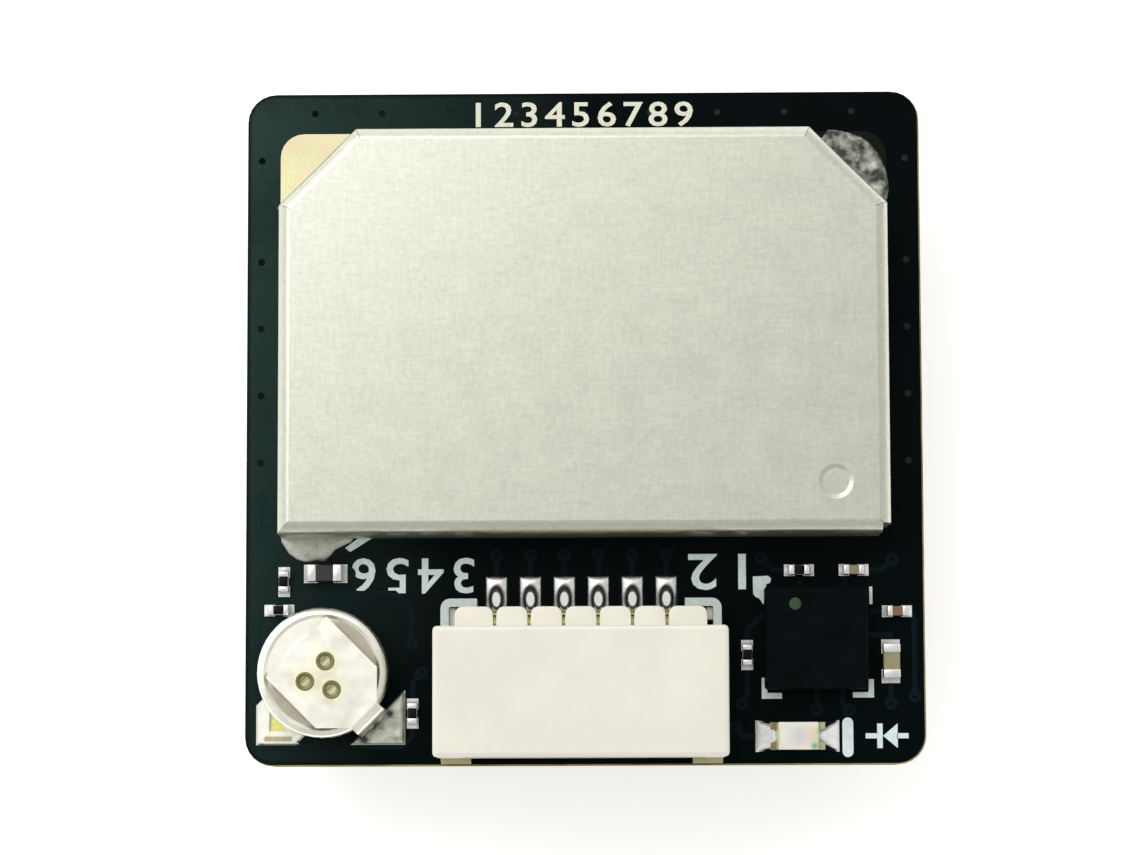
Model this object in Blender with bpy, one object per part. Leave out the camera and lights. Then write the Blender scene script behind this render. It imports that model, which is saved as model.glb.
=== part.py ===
"""Satellite positioning module, lying on its antenna with the component side up.

A square circuit board carries a folded shield can over the receiver circuit, a side-entry
wire connector, a rechargeable cell with welded terminals, a compass chip and a status lamp.
A ceramic patch antenna is taped to the far side, and its feed pin comes up through the board.

Metres, +Z up. X runs along the connector, the connector's mouth faces -Y, and the origin is
under the middle of the board, level with the head of the antenna's feed pin.
"""

import math

import bmesh
import bpy
from mathutils import Matrix, Vector

MM = 0.001

# Faces that touch on the real module, and the solder film under a soldered part
FIT_GAP = 0.02 * MM
SOLDER_FILM = 0.03 * MM

# Patch antenna
CERAMIC_PAST_CAN = 0.1 * MM
CERAMIC_MARGIN = 1.0 * MM
CERAMIC_HEIGHT = 4.0 * MM
CERAMIC_EDGE_BEVEL = 0.25 * MM
SILVER_THICKNESS = 0.04 * MM
ELECTRODE_INSET = 1.8 * MM
ELECTRODE_TRIM = 1.9 * MM
ELECTRODE_CORNER = 0.3 * MM
GROUND_INSET = 0.3 * MM
GROUND_CLEARANCE_RADIUS = 1.3 * MM
TAPE_THICKNESS = 0.3 * MM
TAPE_INSET = 0.2 * MM
FEED_OFFSET = 1.7 * MM
PIN_RADIUS = 0.4 * MM
PIN_HEAD_RADIUS = 0.85 * MM
PIN_HEAD_THICKNESS = 0.25 * MM
PIN_HOLE_CLEARANCE = 0.08 * MM
PIN_PROUD = 0.7 * MM
PIN_TIP_TAPER = 0.12 * MM
FEED_JOINT_RADIUS = 0.8 * MM
FEED_JOINT_HEIGHT = 0.45 * MM

# Circuit board
BOARD_THICKNESS = 1.0 * MM
BOARD_CORNER_RADIUS = 0.85 * MM
LAND_THICKNESS = 0.04 * MM
LAND_ROOT = 0.1 * MM
VIA_RADIUS = 0.11 * MM
VIA_EDGE = 0.42 * MM
VIA_PITCH = 2.0 * MM
VIA_REAR_EDGE = 0.58 * MM
VIA_CORNER = 2.0 * MM
VIA_RUN_START = 5.05 * MM
VIA_SIDE_RUN = 4

# Shield can
CAN_WIDTH = 17.8 * MM
CAN_DEPTH = 11.9 * MM
CAN_HEIGHT = 2.2 * MM
CAN_SHEET = 0.2 * MM
CAN_BEND_RADIUS = 0.35 * MM
CAN_CHAMFER = 2.05 * MM
CAN_RELIEF = 0.06 * MM
CAN_SEAM = 0.08 * MM
CAN_WALL_SHOULDER = 0.12 * MM
CAN_SIDE_MARGIN = 1.1 * MM
CAN_REAR_MARGIN = 1.4 * MM
DIMPLE_RADIUS = 0.58 * MM
DIMPLE_FLAT_RADIUS = 0.38 * MM
DIMPLE_DEPTH = 0.09 * MM
DIMPLE_FROM_SIDE = 1.6 * MM
DIMPLE_FROM_FRONT = 1.45 * MM
RING_OVERHANG = 0.12 * MM
RING_REAR_OVERHANG = 0.2 * MM
RING_WIDTH = 0.9 * MM
RING_CORNER_RADIUS = 0.7 * MM
RING_TAB_REACH = 0.5 * MM
RING_TAB_WIDTH = 2.6 * MM
RING_TAB_RADIUS = 1.0 * MM
RING_TAB_CUT = 0.7 * MM

# Connector housing
WAYS = 6
PITCH = 1.0 * MM
CONNECTOR_X = -0.1 * MM
CONNECTOR_END = 1.75 * MM
CONNECTOR_DEPTH = 3.76 * MM
CONNECTOR_HEIGHT = 2.9 * MM
CONNECTOR_SETBACK = 0.22 * MM
CONNECTOR_TO_CAN = 1.17 * MM
CONNECTOR_EDGE_BEVEL = 0.12 * MM
SIDE_WALL = 0.85 * MM
ROOF = 0.5 * MM
FLOOR = 0.45 * MM
BACK_WALL = 0.7 * MM
KEY_WIDTH = 0.22 * MM
KEY_HEIGHT = 0.7 * MM
COMB_DEPTH = 0.6 * MM
COMB_HEIGHT = 1.65 * MM
COMB_END_RIB = 1.0 * MM
COMB_CORNER = 0.22 * MM
COMB_SLIT = 0.12 * MM
SLOT_CLEARANCE = 0.06 * MM

# Contacts and solder nails
CONTACT_WIDTH = 0.22 * MM
CONTACT_THICKNESS = 0.2 * MM
CONTACT_LEVEL = 1.35 * MM
CONTACT_TIP_SETBACK = 0.9 * MM
CONTACT_TIP_TAPER = 0.3 * MM
CONTACT_BEND_RADIUS = 0.18 * MM
CONTACT_LEG_INSET = 0.3 * MM
CONTACT_FOOT_REACH = 0.5 * MM
CONTACT_LAND_WIDTH = 0.62 * MM
CONTACT_LAND_TOE = 0.45 * MM
NAIL_THICKNESS = 0.24 * MM
NAIL_HEIGHT = 1.3 * MM
NAIL_SHOULDER = 0.75 * MM
NAIL_OUTER_WALL = 0.16 * MM
NAIL_SETBACK = 0.9 * MM
NAIL_FOOT_WIDTH = 0.84 * MM
NAIL_FOOT_LENGTH = 1.7 * MM
NAIL_TOE_SPREAD = 0.04 * MM
NAIL_TOE_REACH = 0.11 * MM
NAIL_LAND_REACH = 0.165 * MM
NAIL_RETURN = 1.06 * MM
NAIL_BEND_RADIUS = 0.28 * MM

# Rechargeable cell and its welded terminals
CELL_RADIUS = 1.9 * MM
CELL_HEIGHT = 1.1 * MM
CELL_SHOULDER = 0.2 * MM
CELL_MOUTH_RADIUS = 1.56 * MM
CELL_CAP_RADIUS = 1.2 * MM
CELL_CAP_RISE = 0.12 * MM
TERMINAL_SHEET = 0.12 * MM
TERMINAL_HALF_WIDTH = 1.25 * MM
TERMINAL_TAIL = 1.03 * MM
LEG_HALF_WIDTH = 0.53 * MM
LEG_CLEARANCE = 0.05 * MM
LEG_BEND_RADIUS = 0.3 * MM
LEG_SLIT = 0.05 * MM
FOOT_SIDE_REACH = 0.41 * MM
FOOT_FRONT_REACH = 0.13 * MM
BASE_FOOT_REACH = 0.05 * MM
BASE_FOOT_LENGTH = 1.1 * MM
BASE_PLATE_OVERLAP = 1.1 * MM
BASE_RIM_WIDTH = 0.34 * MM
BASE_WINDOW_SIDE = 0.55 * MM
WELD_RADIUS = 0.27 * MM
WELD_FLOOR_RADIUS = 0.19 * MM
WELD_TURNS = (75, 195, 311)
WELD_MIDDLE_Y = -0.15 * MM
WELD_DEPTH = 0.04 * MM
WELD_SPREAD = 0.48 * MM
CELL_LAND_MARGIN = 0.06 * MM
CELL_TO_CONNECTOR = 1.0 * MM
CELL_SIDE_MARGIN = 0.39 * MM
CELL_FRONT_MARGIN = 0.69 * MM

# Compass chip and status lamp
COMPASS_SIDE = 3.0 * MM
COMPASS_HEIGHT = 0.9 * MM
COMPASS_TO_CONNECTOR = 1.12 * MM
PIN_ONE_RADIUS = 0.2 * MM
PIN_ONE_DEPTH = 0.03 * MM
PIN_ONE_FROM_SIDE = 0.88 * MM
PIN_ONE_FROM_REAR = 0.52 * MM
LAMP_LENGTH = 1.6 * MM
LAMP_WIDTH = 0.8 * MM
LAMP_BASE_HEIGHT = 0.25 * MM
LAMP_LENS_LENGTH = 1.3 * MM
LAMP_LENS_HEIGHT = 0.35 * MM
LAMP_LENS_DRAFT = 0.07 * MM
LAMP_END_NOTCH = 0.2 * MM
LAMP_FRONT_MARGIN = 0.44 * MM
LAMP_TO_COMPASS = 0.96 * MM
LAMP_SHIFT = -0.55 * MM
LAMP_LAND_TOE = 0.4 * MM

# Chip resistors, capacitors and coils: length, width, height, end band
SMALL_LENGTH = 0.6 * MM
SMALL_WIDTH = 0.3 * MM
SMALL_HEIGHT = 0.26 * MM
SMALL_BAND = 0.16 * MM
MEDIUM_LENGTH = 1.0 * MM
MEDIUM_WIDTH = 0.5 * MM
MEDIUM_HEIGHT = 0.5 * MM
MEDIUM_BAND = 0.25 * MM
LARGE_LENGTH = 2.0 * MM
LARGE_WIDTH = 1.25 * MM
LARGE_HEIGHT = 0.9 * MM
LARGE_BAND = 0.4 * MM
BAND_STEP = 0.015 * MM
PAD_TOE = 0.14 * MM
PAD_HEEL = 0.02 * MM
PAD_SIDE = 0.02 * MM

# Gaps round the parts in front of the can
CELL_TO_BEAD = 0.79 * MM
BEAD_TO_CAN = 0.78 * MM
BEAD_SHIFT = 0.02 * MM
COMPASS_TO_REAR_PARTS = 0.36 * MM
REAR_PARTS_TO_CAN = 0.83 * MM
COMPASS_TO_CHOKE = 0.46 * MM
COMPASS_TO_SIDE_PART = 0.61 * MM
SIDE_PART_MARGIN = 0.52 * MM
SIDE_PART_RISE = 0.79 * MM
CHOKE_DROP = 0.68 * MM
PULLUP_SHIFT = 0.46 * MM
CORE_CAPACITOR_SHIFT = 1.15 * MM
CLOCK_TO_COMPASS = 0.504 * MM
CLOCK_PART_DROP = 0.48 * MM
CHARGE_TO_CELL = 0.28 * MM
CHARGE_PART_DROP = 1.18 * MM
LAMP_PART_RISE = 0.52 * MM
PULSE_PART_SHIFT = 0.14 * MM
PULSE_PART_RISE = 1.36 * MM

# Circuits under the can
RECEIVER_SIDE = 4.0 * MM
RECEIVER_HEIGHT = 0.75 * MM
OSCILLATOR_LENGTH = 2.0 * MM
OSCILLATOR_WIDTH = 1.6 * MM
OSCILLATOR_HEIGHT = 0.55 * MM
CRYSTAL_LENGTH = 2.0 * MM
CRYSTAL_WIDTH = 1.2 * MM
CRYSTAL_HEIGHT = 0.4 * MM
LID_THICKNESS = 0.1 * MM
LID_INSET = 0.12 * MM
FILTER_LENGTH = 1.4 * MM
FILTER_WIDTH = 1.1 * MM
FILTER_HEIGHT = 0.6 * MM
AMPLIFIER_SIDE = 1.5 * MM
AMPLIFIER_HEIGHT = 0.55 * MM
REGULATOR_SIDE = 2.0 * MM
REGULATOR_HEIGHT = 0.75 * MM
INNER_GAP = 0.5 * MM
CHIP_BEVEL = 0.06 * MM

ROUND_SEGMENTS = 48
SMALL_ROUND_SEGMENTS = 16
VIA_SEGMENTS = 8
CORNER_SEGMENTS = 6
BEND_STEPS = 4
CUT_MARGIN = 0.5 * MM
MERGE_DISTANCE = 0.0001 * MM
SHARP_ANGLE = math.radians(35)
FLAT_ANGLE = math.radians(1)
NEIGHBOUR_SHARE = 0.9

UP = Vector((0, 0, 1))
DOWN = Vector((0, 0, -1))

# Levels, from the pin's head up
ELECTRODE_Z = PIN_HEAD_THICKNESS + FIT_GAP
CERAMIC_Z = ELECTRODE_Z + SILVER_THICKNESS + FIT_GAP
GROUND_Z = CERAMIC_Z + CERAMIC_HEIGHT + FIT_GAP
TAPE_Z = GROUND_Z + SILVER_THICKNESS + FIT_GAP
BOARD_Z = TAPE_Z + TAPE_THICKNESS + FIT_GAP
BOARD_TOP = BOARD_Z + BOARD_THICKNESS
LAND_TOP = BOARD_TOP + LAND_THICKNESS
PART_Z = LAND_TOP + SOLDER_FILM

ROW_HALF = (WAYS - 1) / 2 * PITCH
CONNECTOR_WIDTH = 2 * (ROW_HALF + CONNECTOR_END)

# Front rows, measured back from the board's front edge
CONNECTOR_BACK = CONNECTOR_SETBACK + CONNECTOR_DEPTH
COMB_BACK = CONNECTOR_BACK + COMB_DEPTH
CONTACT_LAND_BACK = COMB_BACK + CONTACT_FOOT_REACH + CONTACT_LAND_TOE
CELL_AT = CELL_FRONT_MARGIN + CELL_RADIUS + FOOT_FRONT_REACH
BEAD_AT = CELL_AT + CELL_RADIUS + CELL_TO_BEAD + MEDIUM_WIDTH / 2
LAMP_AT = LAMP_FRONT_MARGIN + LAMP_WIDTH / 2
COMPASS_AT = LAMP_AT + LAMP_WIDTH / 2 + LAMP_TO_COMPASS + COMPASS_SIDE / 2
REAR_PARTS_AT = COMPASS_AT + COMPASS_SIDE / 2 + COMPASS_TO_REAR_PARTS + SMALL_WIDTH / 2
CAN_FRONT = max(
    CONTACT_LAND_BACK + CONNECTOR_TO_CAN,
    BEAD_AT + MEDIUM_WIDTH / 2 + BEAD_TO_CAN,
    REAR_PARTS_AT + SMALL_WIDTH / 2 + REAR_PARTS_TO_CAN,
)

# How far the front row reaches on each side of the connector's middle
CELL_FROM_EDGE = CELL_SIDE_MARGIN + BASE_FOOT_REACH + CELL_RADIUS
CELL_SIDE_ROW = CONNECTOR_WIDTH / 2 + CELL_TO_CONNECTOR + FOOT_SIDE_REACH + CELL_RADIUS
SIDE_PART_FROM_EDGE = SIDE_PART_MARGIN + SMALL_LENGTH / 2
COMPASS_FROM_EDGE = SIDE_PART_FROM_EDGE + SMALL_LENGTH / 2 + COMPASS_TO_SIDE_PART + COMPASS_SIDE / 2
COMPASS_SIDE_ROW = CONNECTOR_WIDTH / 2 + COMPASS_TO_CONNECTOR + COMPASS_SIDE / 2

# The antenna is as wide as the can, and the outline is drawn round whichever row reaches furthest
CERAMIC_WIDTH = CAN_WIDTH + 2 * CERAMIC_PAST_CAN
HALF_WIDTH = max(
    CELL_SIDE_ROW + CELL_FROM_EDGE - CONNECTOR_X,
    COMPASS_SIDE_ROW + COMPASS_FROM_EDGE + CONNECTOR_X,
    CAN_WIDTH / 2 + CAN_SIDE_MARGIN,
    CERAMIC_WIDTH / 2 + CERAMIC_MARGIN,
)
BOARD_DEPTH = CAN_FRONT + CAN_DEPTH + CAN_REAR_MARGIN
HALF_DEPTH = BOARD_DEPTH / 2
CERAMIC_DEPTH = BOARD_DEPTH - 2 * CERAMIC_MARGIN

# The cell keeps to the left edge, and the compass chip and the parts beside it to the right edge
CELL_X = CELL_FROM_EDGE - HALF_WIDTH
COMPASS_X = HALF_WIDTH - COMPASS_FROM_EDGE
CHOKE_X = COMPASS_X + COMPASS_SIDE / 2 + COMPASS_TO_CHOKE + MEDIUM_WIDTH / 2
SIDE_PART_X = HALF_WIDTH - SIDE_PART_FROM_EDGE


def from_front(distance):
    """Y of a point that lies this far back from the board's front edge."""
    return distance - HALF_DEPTH


CAN_FRONT_Y = from_front(CAN_FRONT)
CAN_REAR_Y = CAN_FRONT_Y + CAN_DEPTH
CAN_MIDDLE_Y = CAN_FRONT_Y + CAN_DEPTH / 2
CONNECTOR_FRONT_Y = from_front(CONNECTOR_SETBACK)
CELL_Y = from_front(CELL_AT)
COMPASS_Y = from_front(COMPASS_AT)
LAMP_X = COMPASS_X + LAMP_SHIFT
LAMP_Y = from_front(LAMP_AT)
NAIL_OUTER_X = CONNECTOR_WIDTH / 2 - NAIL_OUTER_WALL
LEG_U = CELL_RADIUS + LEG_CLEARANCE + TERMINAL_SHEET

SMALL = (SMALL_LENGTH, SMALL_WIDTH, SMALL_HEIGHT, SMALL_BAND)
MEDIUM = (MEDIUM_LENGTH, MEDIUM_WIDTH, MEDIUM_HEIGHT, MEDIUM_BAND)
LARGE = (LARGE_LENGTH, LARGE_WIDTH, LARGE_HEIGHT, LARGE_BAND)


# Scene, materials and objects


def clear_scene():
    for obj in list(bpy.data.objects):
        bpy.data.objects.remove(obj, do_unlink=True)


def material(name, colour, roughness, metallic=0.0):
    made = bpy.data.materials.get(name) or bpy.data.materials.new(name)
    made.use_nodes = True
    shader = made.node_tree.nodes["Principled BSDF"]
    shader.inputs["Base Color"].default_value = (*colour, 1.0)
    shader.inputs["Roughness"].default_value = roughness
    shader.inputs["Metallic"].default_value = metallic
    return made


def finishes():
    """The finishes of the module, by the name of what has them."""
    return {
        "mask": material("dark green solder mask", (0.012, 0.035, 0.034), 0.35),
        "nickel silver": material("nickel silver sheet", (0.66, 0.65, 0.60), 0.38, 1.0),
        "tin": material("bright tin", (0.74, 0.74, 0.72), 0.28, 1.0),
        "ivory": material("ivory nylon", (0.83, 0.80, 0.70), 0.45),
        "steel": material("nickel-plated steel", (0.78, 0.77, 0.72), 0.25, 1.0),
        "gasket": material("polypropylene gasket", (0.42, 0.40, 0.34), 0.5),
        "epoxy": material("black moulding compound", (0.015, 0.016, 0.018), 0.5),
        "white": material("white laminate", (0.80, 0.80, 0.76), 0.5),
        "lens": material("clear resin", (0.86, 0.84, 0.76), 0.15),
        "olive": material("olive dielectric", (0.30, 0.26, 0.14), 0.5),
        "brown": material("brown dielectric", (0.30, 0.17, 0.10), 0.5),
        "ferrite": material("dark ferrite", (0.03, 0.03, 0.03), 0.6),
        "alumina": material("beige ceramic", (0.62, 0.55, 0.42), 0.6),
        "silver": material("fired silver", (0.80, 0.79, 0.75), 0.45, 1.0),
        "tape": material("acrylic foam tape", (0.72, 0.72, 0.70), 0.8),
    }


def face_outwards(bm, level):
    """Turns a closed body's faces outwards, or a sheet's widest level face up (1) or down (-1)."""
    bmesh.ops.recalc_face_normals(bm, faces=bm.faces)
    if level:
        widest = max(bm.faces, key=lambda face: face.calc_area() * abs(face.normal.z))
        wrong = widest.normal.z * level < 0
    else:
        wrong = bm.calc_volume(signed=True) < 0
    if wrong:
        bmesh.ops.reverse_faces(bm, faces=bm.faces)


def is_curved(face):
    """Whether a face belongs to a round surface, and so is shaded smooth: it meets a face of
    about its own size, or a larger one, at a shallow angle."""
    least = NEIGHBOUR_SHARE * face.calc_area()
    for edge in face.edges:
        if len(edge.link_faces) == 2 and FLAT_ANGLE < edge.calc_face_angle() < SHARP_ANGLE:
            if any(other.calc_area() > least for other in edge.link_faces if other != face):
                return True
    return False


def object_from(name, bm, finish=None, parent=None, location=(0, 0, 0), turn=0.0, level=0):
    """A mesh object made of the bmesh. Level is for an open sheet: see face_outwards."""
    face_outwards(bm, level)
    curved = [is_curved(face) for face in bm.faces]
    mesh = bpy.data.meshes.new(name)
    bm.to_mesh(mesh)
    bm.free()
    mesh.polygons.foreach_set("use_smooth", curved)
    if finish:
        mesh.materials.append(finish)
    obj = bpy.data.objects.new(name, mesh)
    bpy.context.scene.collection.objects.link(obj)
    obj.parent = parent
    obj.location = location
    obj.rotation_euler = (0, 0, turn)
    return obj


def helper(name, bm, **place):
    """A shape that another one is cut with or joined to."""
    obj = object_from(name, bm, **place)
    obj.hide_render = True
    obj.display_type = "WIRE"
    return obj


def boolean(obj, other, operation):
    step = obj.modifiers.new(f"{operation.lower()} {other.name}", "BOOLEAN")
    step.operation = operation
    step.object = other
    step.solver = "EXACT"


def group(name, location=(0, 0, 0)):
    empty = bpy.data.objects.new(name, None)
    empty.location = location
    bpy.context.scene.collection.objects.link(empty)
    return empty


# Outlines and basic solids


def arc(centre, radius, start, end, segments):
    """Points on an arc from one angle to another, both ends included. Angles in degrees."""
    points = []
    for i in range(segments + 1):
        angle = math.radians(start + (end - start) * i / segments)
        points.append((centre[0] + radius * math.cos(angle), centre[1] + radius * math.sin(angle)))
    return points


def rectangle(low_x, low_y, high_x, high_y):
    return [(low_x, low_y), (high_x, low_y), (high_x, high_y), (low_x, high_y)]


def rounded_rectangle(low_x, low_y, high_x, high_y, radius, segments=CORNER_SEGMENTS):
    centres = rectangle(low_x + radius, low_y + radius, high_x - radius, high_y - radius)
    points = []
    for centre, start in zip(centres, (180, 270, 0, 90)):
        points += arc(centre, radius, start, start + 90, segments)
    return points


def circle(radius, segments, centre=(0, 0)):
    return arc(centre, radius, 0, 360 * (segments - 1) / segments, segments - 1)


def extrude(bm, faces, shift):
    moved = bmesh.ops.extrude_face_region(bm, geom=faces)["geom"]
    bmesh.ops.translate(bm, verts=[v for v in moved if isinstance(v, bmesh.types.BMVert)], vec=shift)


def add_prism(bm, outline, low, high):
    """Extrudes a closed outline in XY from one level to another."""
    face = bm.faces.new([bm.verts.new((x, y, low)) for x, y in outline])
    extrude(bm, [face], UP * (high - low))


def add_cross_prism(bm, outline, low_x, high_x):
    """Extrudes a closed outline in YZ along X."""
    face = bm.faces.new([bm.verts.new((low_x, y, z)) for y, z in outline])
    extrude(bm, [face], Vector((high_x - low_x, 0, 0)))


def prism(outline, low, high):
    bm = bmesh.new()
    add_prism(bm, outline, low, high)
    return bm


def add_ring(bm, outer, inner, low, high):
    """Extrudes the band between two closed outlines."""
    edges = []
    for outline in (outer, inner):
        verts = [bm.verts.new((x, y, low)) for x, y in outline]
        edges += [bm.edges.new(pair) for pair in zip(verts, verts[1:] + verts[:1])]
    faces = bmesh.ops.bridge_loops(bm, edges=edges)["faces"]
    extrude(bm, faces, UP * (high - low))


def revolved(profile, segments=ROUND_SEGMENTS, closed=False):
    """Spins a profile of (radius, height) points round Z. It either ends on the axis or, where
    closed, joins up with itself clear of the axis."""
    bm = bmesh.new()
    verts = [bm.verts.new((radius, 0, height)) for radius, height in profile]
    following = verts[1:] + verts[:1] if closed else verts[1:]
    edges = [bm.edges.new(pair) for pair in zip(verts, following)]
    bmesh.ops.spin(bm, geom=verts + edges, axis=UP, angle=2 * math.pi, steps=segments, use_merge=True)
    bmesh.ops.remove_doubles(bm, verts=bm.verts, dist=MERGE_DISTANCE)
    return bm


def bevelled_block(length, width, height, bevel):
    """A block standing on z = 0 whose upper edges are bevelled."""
    bm = prism(rectangle(-length / 2, -width / 2, length / 2, width / 2), 0, height)
    upper = [e for e in bm.edges if max(v.co.z for v in e.verts) > height / 2]
    bmesh.ops.bevel(bm, geom=upper, offset=bevel, segments=1, profile=0.5, affect="EDGES",
                    material=-1)
    return bm


# Folded sheet


def fold(bm, edge, outward, radius, vertical, steps=BEND_STEPS):
    """Bends a flange out of a level sheet's edge, leaving along outward and turning by a right
    angle to run along vertical. Returns the flange's far edge."""
    turned = math.pi / 2 / steps
    for step in range(steps):
        before, after = step * turned, (step + 1) * turned
        shift = outward * (math.sin(after) - math.sin(before)) * radius
        shift += vertical * (math.cos(before) - math.cos(after)) * radius
        edge = extruded_edge(bm, edge, shift)
    return edge


def extruded_edge(bm, edge, shift):
    made = bmesh.ops.extrude_edge_only(bm, edges=[edge])["geom"]
    verts = [v for v in made if isinstance(v, bmesh.types.BMVert)]
    bmesh.ops.translate(bm, verts=verts, vec=shift)
    return next(e for e in bm.edges if e.verts[0] in verts and e.verts[1] in verts)


def edge_between(bm, a, b):
    return next(e for e in bm.edges if {*e.verts} == {a, b})


def thicken(obj, thickness):
    """Gives a sheet its thickness, on the side away from its normals."""
    step = obj.modifiers.new("sheet", "SOLIDIFY")
    step.thickness = thickness
    step.offset = -1.0
    step.use_even_offset = True


# Circuit board


def placed_outline(outline, x, y, turned):
    """The outline moved to a place, after a quarter turn where turned is true."""
    return [(x - b, y + a) if turned else (x + a, y + b) for a, b in outline]


def land_pair(package, x, y, turned, toe=PAD_TOE):
    """The two lands of a chip component."""
    length, width, _, band = package
    low, high = length / 2 - band - PAD_HEEL, length / 2 + toe
    half = width / 2 + PAD_SIDE
    right = rectangle(low, -half, high, half)
    left = rectangle(-high, -half, -low, half)
    return [placed_outline(outline, x, y, turned) for outline in (left, right)]


def contact_x(way):
    """Where a contact stands along the row, from the connector's middle."""
    return way * PITCH - ROW_HALF


def connector_lands():
    lands = []
    back = from_front(CONTACT_LAND_BACK)
    front = from_front(COMB_BACK) - CONTACT_LEG_INSET
    for way in range(WAYS):
        x = CONNECTOR_X + contact_x(way)
        lands.append(rectangle(x - CONTACT_LAND_WIDTH / 2, front, x + CONTACT_LAND_WIDTH / 2, back))
    nail_front = CONNECTOR_FRONT_Y - NAIL_LAND_REACH
    nail_back = CONNECTOR_FRONT_Y + NAIL_FOOT_LENGTH
    for side in (-1, 1):
        inner = CONNECTOR_X + side * (NAIL_OUTER_X - NAIL_FOOT_WIDTH)
        outer = CONNECTOR_X + side * (NAIL_OUTER_X + NAIL_TOE_SPREAD)
        lands.append(rectangle(min(inner, outer), nail_front, max(inner, outer), nail_back))
    return lands


def top_foot_corner():
    """The square corner of the upper terminal's foot, from the cell's middle."""
    return CELL_RADIUS + FOOT_SIDE_REACH, -(CELL_RADIUS + FOOT_FRONT_REACH)


def top_foot_outline(margin=0.0):
    """The upper terminal's foot: a square corner cut off along the leg."""
    x, y = top_foot_corner()
    reach = LEG_U * math.sqrt(2) - margin
    x, y = x + margin, y - margin
    return [(reach + y, y), (x, y), (x, x - reach)]


def base_foot_outline(margin=0.0):
    """The lower terminal's foot, whose square corner fills the corner beside the cell."""
    x = -(CELL_RADIUS + BASE_FOOT_REACH + margin)
    y = -(CELL_RADIUS + FOOT_FRONT_REACH + margin)
    length = BASE_FOOT_LENGTH + margin
    return [(x, y), (x + length, y), (x + length + BASE_PLATE_OVERLAP, y + BASE_PLATE_OVERLAP),
            (x + BASE_PLATE_OVERLAP, y + length + BASE_PLATE_OVERLAP), (x, y + length)]


def lamp_package():
    return (LAMP_LENGTH, LAMP_WIDTH, LAMP_BASE_HEIGHT, (LAMP_LENGTH - LAMP_LENS_LENGTH) / 2)


def small_lands(placements):
    """All lands that stand apart from the shield's ring, as outlines."""
    lands = connector_lands()
    for outline in (top_foot_outline(CELL_LAND_MARGIN), base_foot_outline(CELL_LAND_MARGIN)):
        lands.append(placed_outline(outline, CELL_X, CELL_Y, False))
    lands += land_pair(lamp_package(), LAMP_X, LAMP_Y, False, LAMP_LAND_TOE)
    for _, package, x, y, turned, _ in placements:
        lands += land_pair(package, x, y, turned)
    lands.append(circle(FEED_JOINT_RADIUS, ROUND_SEGMENTS // 2, (0, FEED_OFFSET)))
    return lands


def ring_outlines():
    """The land that the can is soldered to: rounded outside, following the can inside."""
    side = CAN_WIDTH / 2 + RING_OVERHANG
    front, rear = CAN_FRONT_Y - RING_OVERHANG, CAN_REAR_Y + RING_REAR_OVERHANG
    outer = rounded_rectangle(-side, front, side, rear, RING_CORNER_RADIUS)
    x = side - RING_WIDTH
    low, high = front + RING_WIDTH, rear - RING_WIDTH
    cut = CAN_CHAMFER
    inner = [(-x, low), (x, low), (x, high - cut), (x - cut, high), (cut - x, high), (-x, high - cut)]
    return outer, inner


def ring_tab_outline():
    """The ring's wider corner at the front left, in front of the can."""
    left = -(CAN_WIDTH / 2 + RING_OVERHANG)
    front = CAN_FRONT_Y - RING_OVERHANG - RING_TAB_REACH
    rear = CAN_FRONT_Y + RING_WIDTH / 2
    right = left + RING_TAB_WIDTH
    points = arc((left + RING_TAB_RADIUS, front + RING_TAB_RADIUS), RING_TAB_RADIUS, 180, 270,
                 CORNER_SEGMENTS)
    return points + [(right - RING_TAB_CUT, front), (right, front + RING_TAB_CUT), (right, rear),
                     (left, rear)]


def via_places():
    """Stitching holes along the rear edge and both sides."""
    places = []
    side, rear = HALF_WIDTH - VIA_EDGE, HALF_DEPTH - VIA_REAR_EDGE
    run = int((HALF_WIDTH - VIA_CORNER) / VIA_PITCH)
    for i in range(-run, run + 1):
        places.append((i * VIA_PITCH, rear))
    for sign in (-1, 1):
        places.append((sign * side, HALF_DEPTH - VIA_CORNER))
        for i in range(VIA_SIDE_RUN):
            places.append((sign * side, HALF_DEPTH - VIA_RUN_START - i * VIA_PITCH))
    return places


def make_board(parent, finish, placements):
    outline = rounded_rectangle(-HALF_WIDTH, -HALF_DEPTH, HALF_WIDTH, HALF_DEPTH, BOARD_CORNER_RADIUS)
    board = object_from("circuit_board", prism(outline, BOARD_Z, BOARD_TOP), finish, parent)

    ring = bmesh.new()
    outer, inner = ring_outlines()
    add_ring(ring, outer, inner, BOARD_TOP - LAND_ROOT, LAND_TOP)
    boolean(board, helper("shield_ring_land", ring, parent=parent), "UNION")

    tab = prism(ring_tab_outline(), BOARD_TOP - LAND_ROOT, LAND_TOP)
    boolean(board, helper("shield_ring_tab", tab, parent=parent), "UNION")

    lands = bmesh.new()
    for outline in small_lands(placements):
        add_prism(lands, outline, BOARD_TOP - LAND_ROOT, LAND_TOP)
    boolean(board, helper("part_lands", lands, parent=parent), "UNION")

    holes = bmesh.new()
    low, high = BOARD_Z - CUT_MARGIN, BOARD_TOP + CUT_MARGIN
    for place in via_places():
        add_prism(holes, circle(VIA_RADIUS, VIA_SEGMENTS, place), low, high)
    pin_hole = circle(PIN_RADIUS + PIN_HOLE_CLEARANCE, SMALL_ROUND_SEGMENTS, (0, FEED_OFFSET))
    add_prism(holes, pin_hole, low, high)
    boolean(board, helper("drill", holes, parent=parent), "DIFFERENCE")


# Patch antenna


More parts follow.
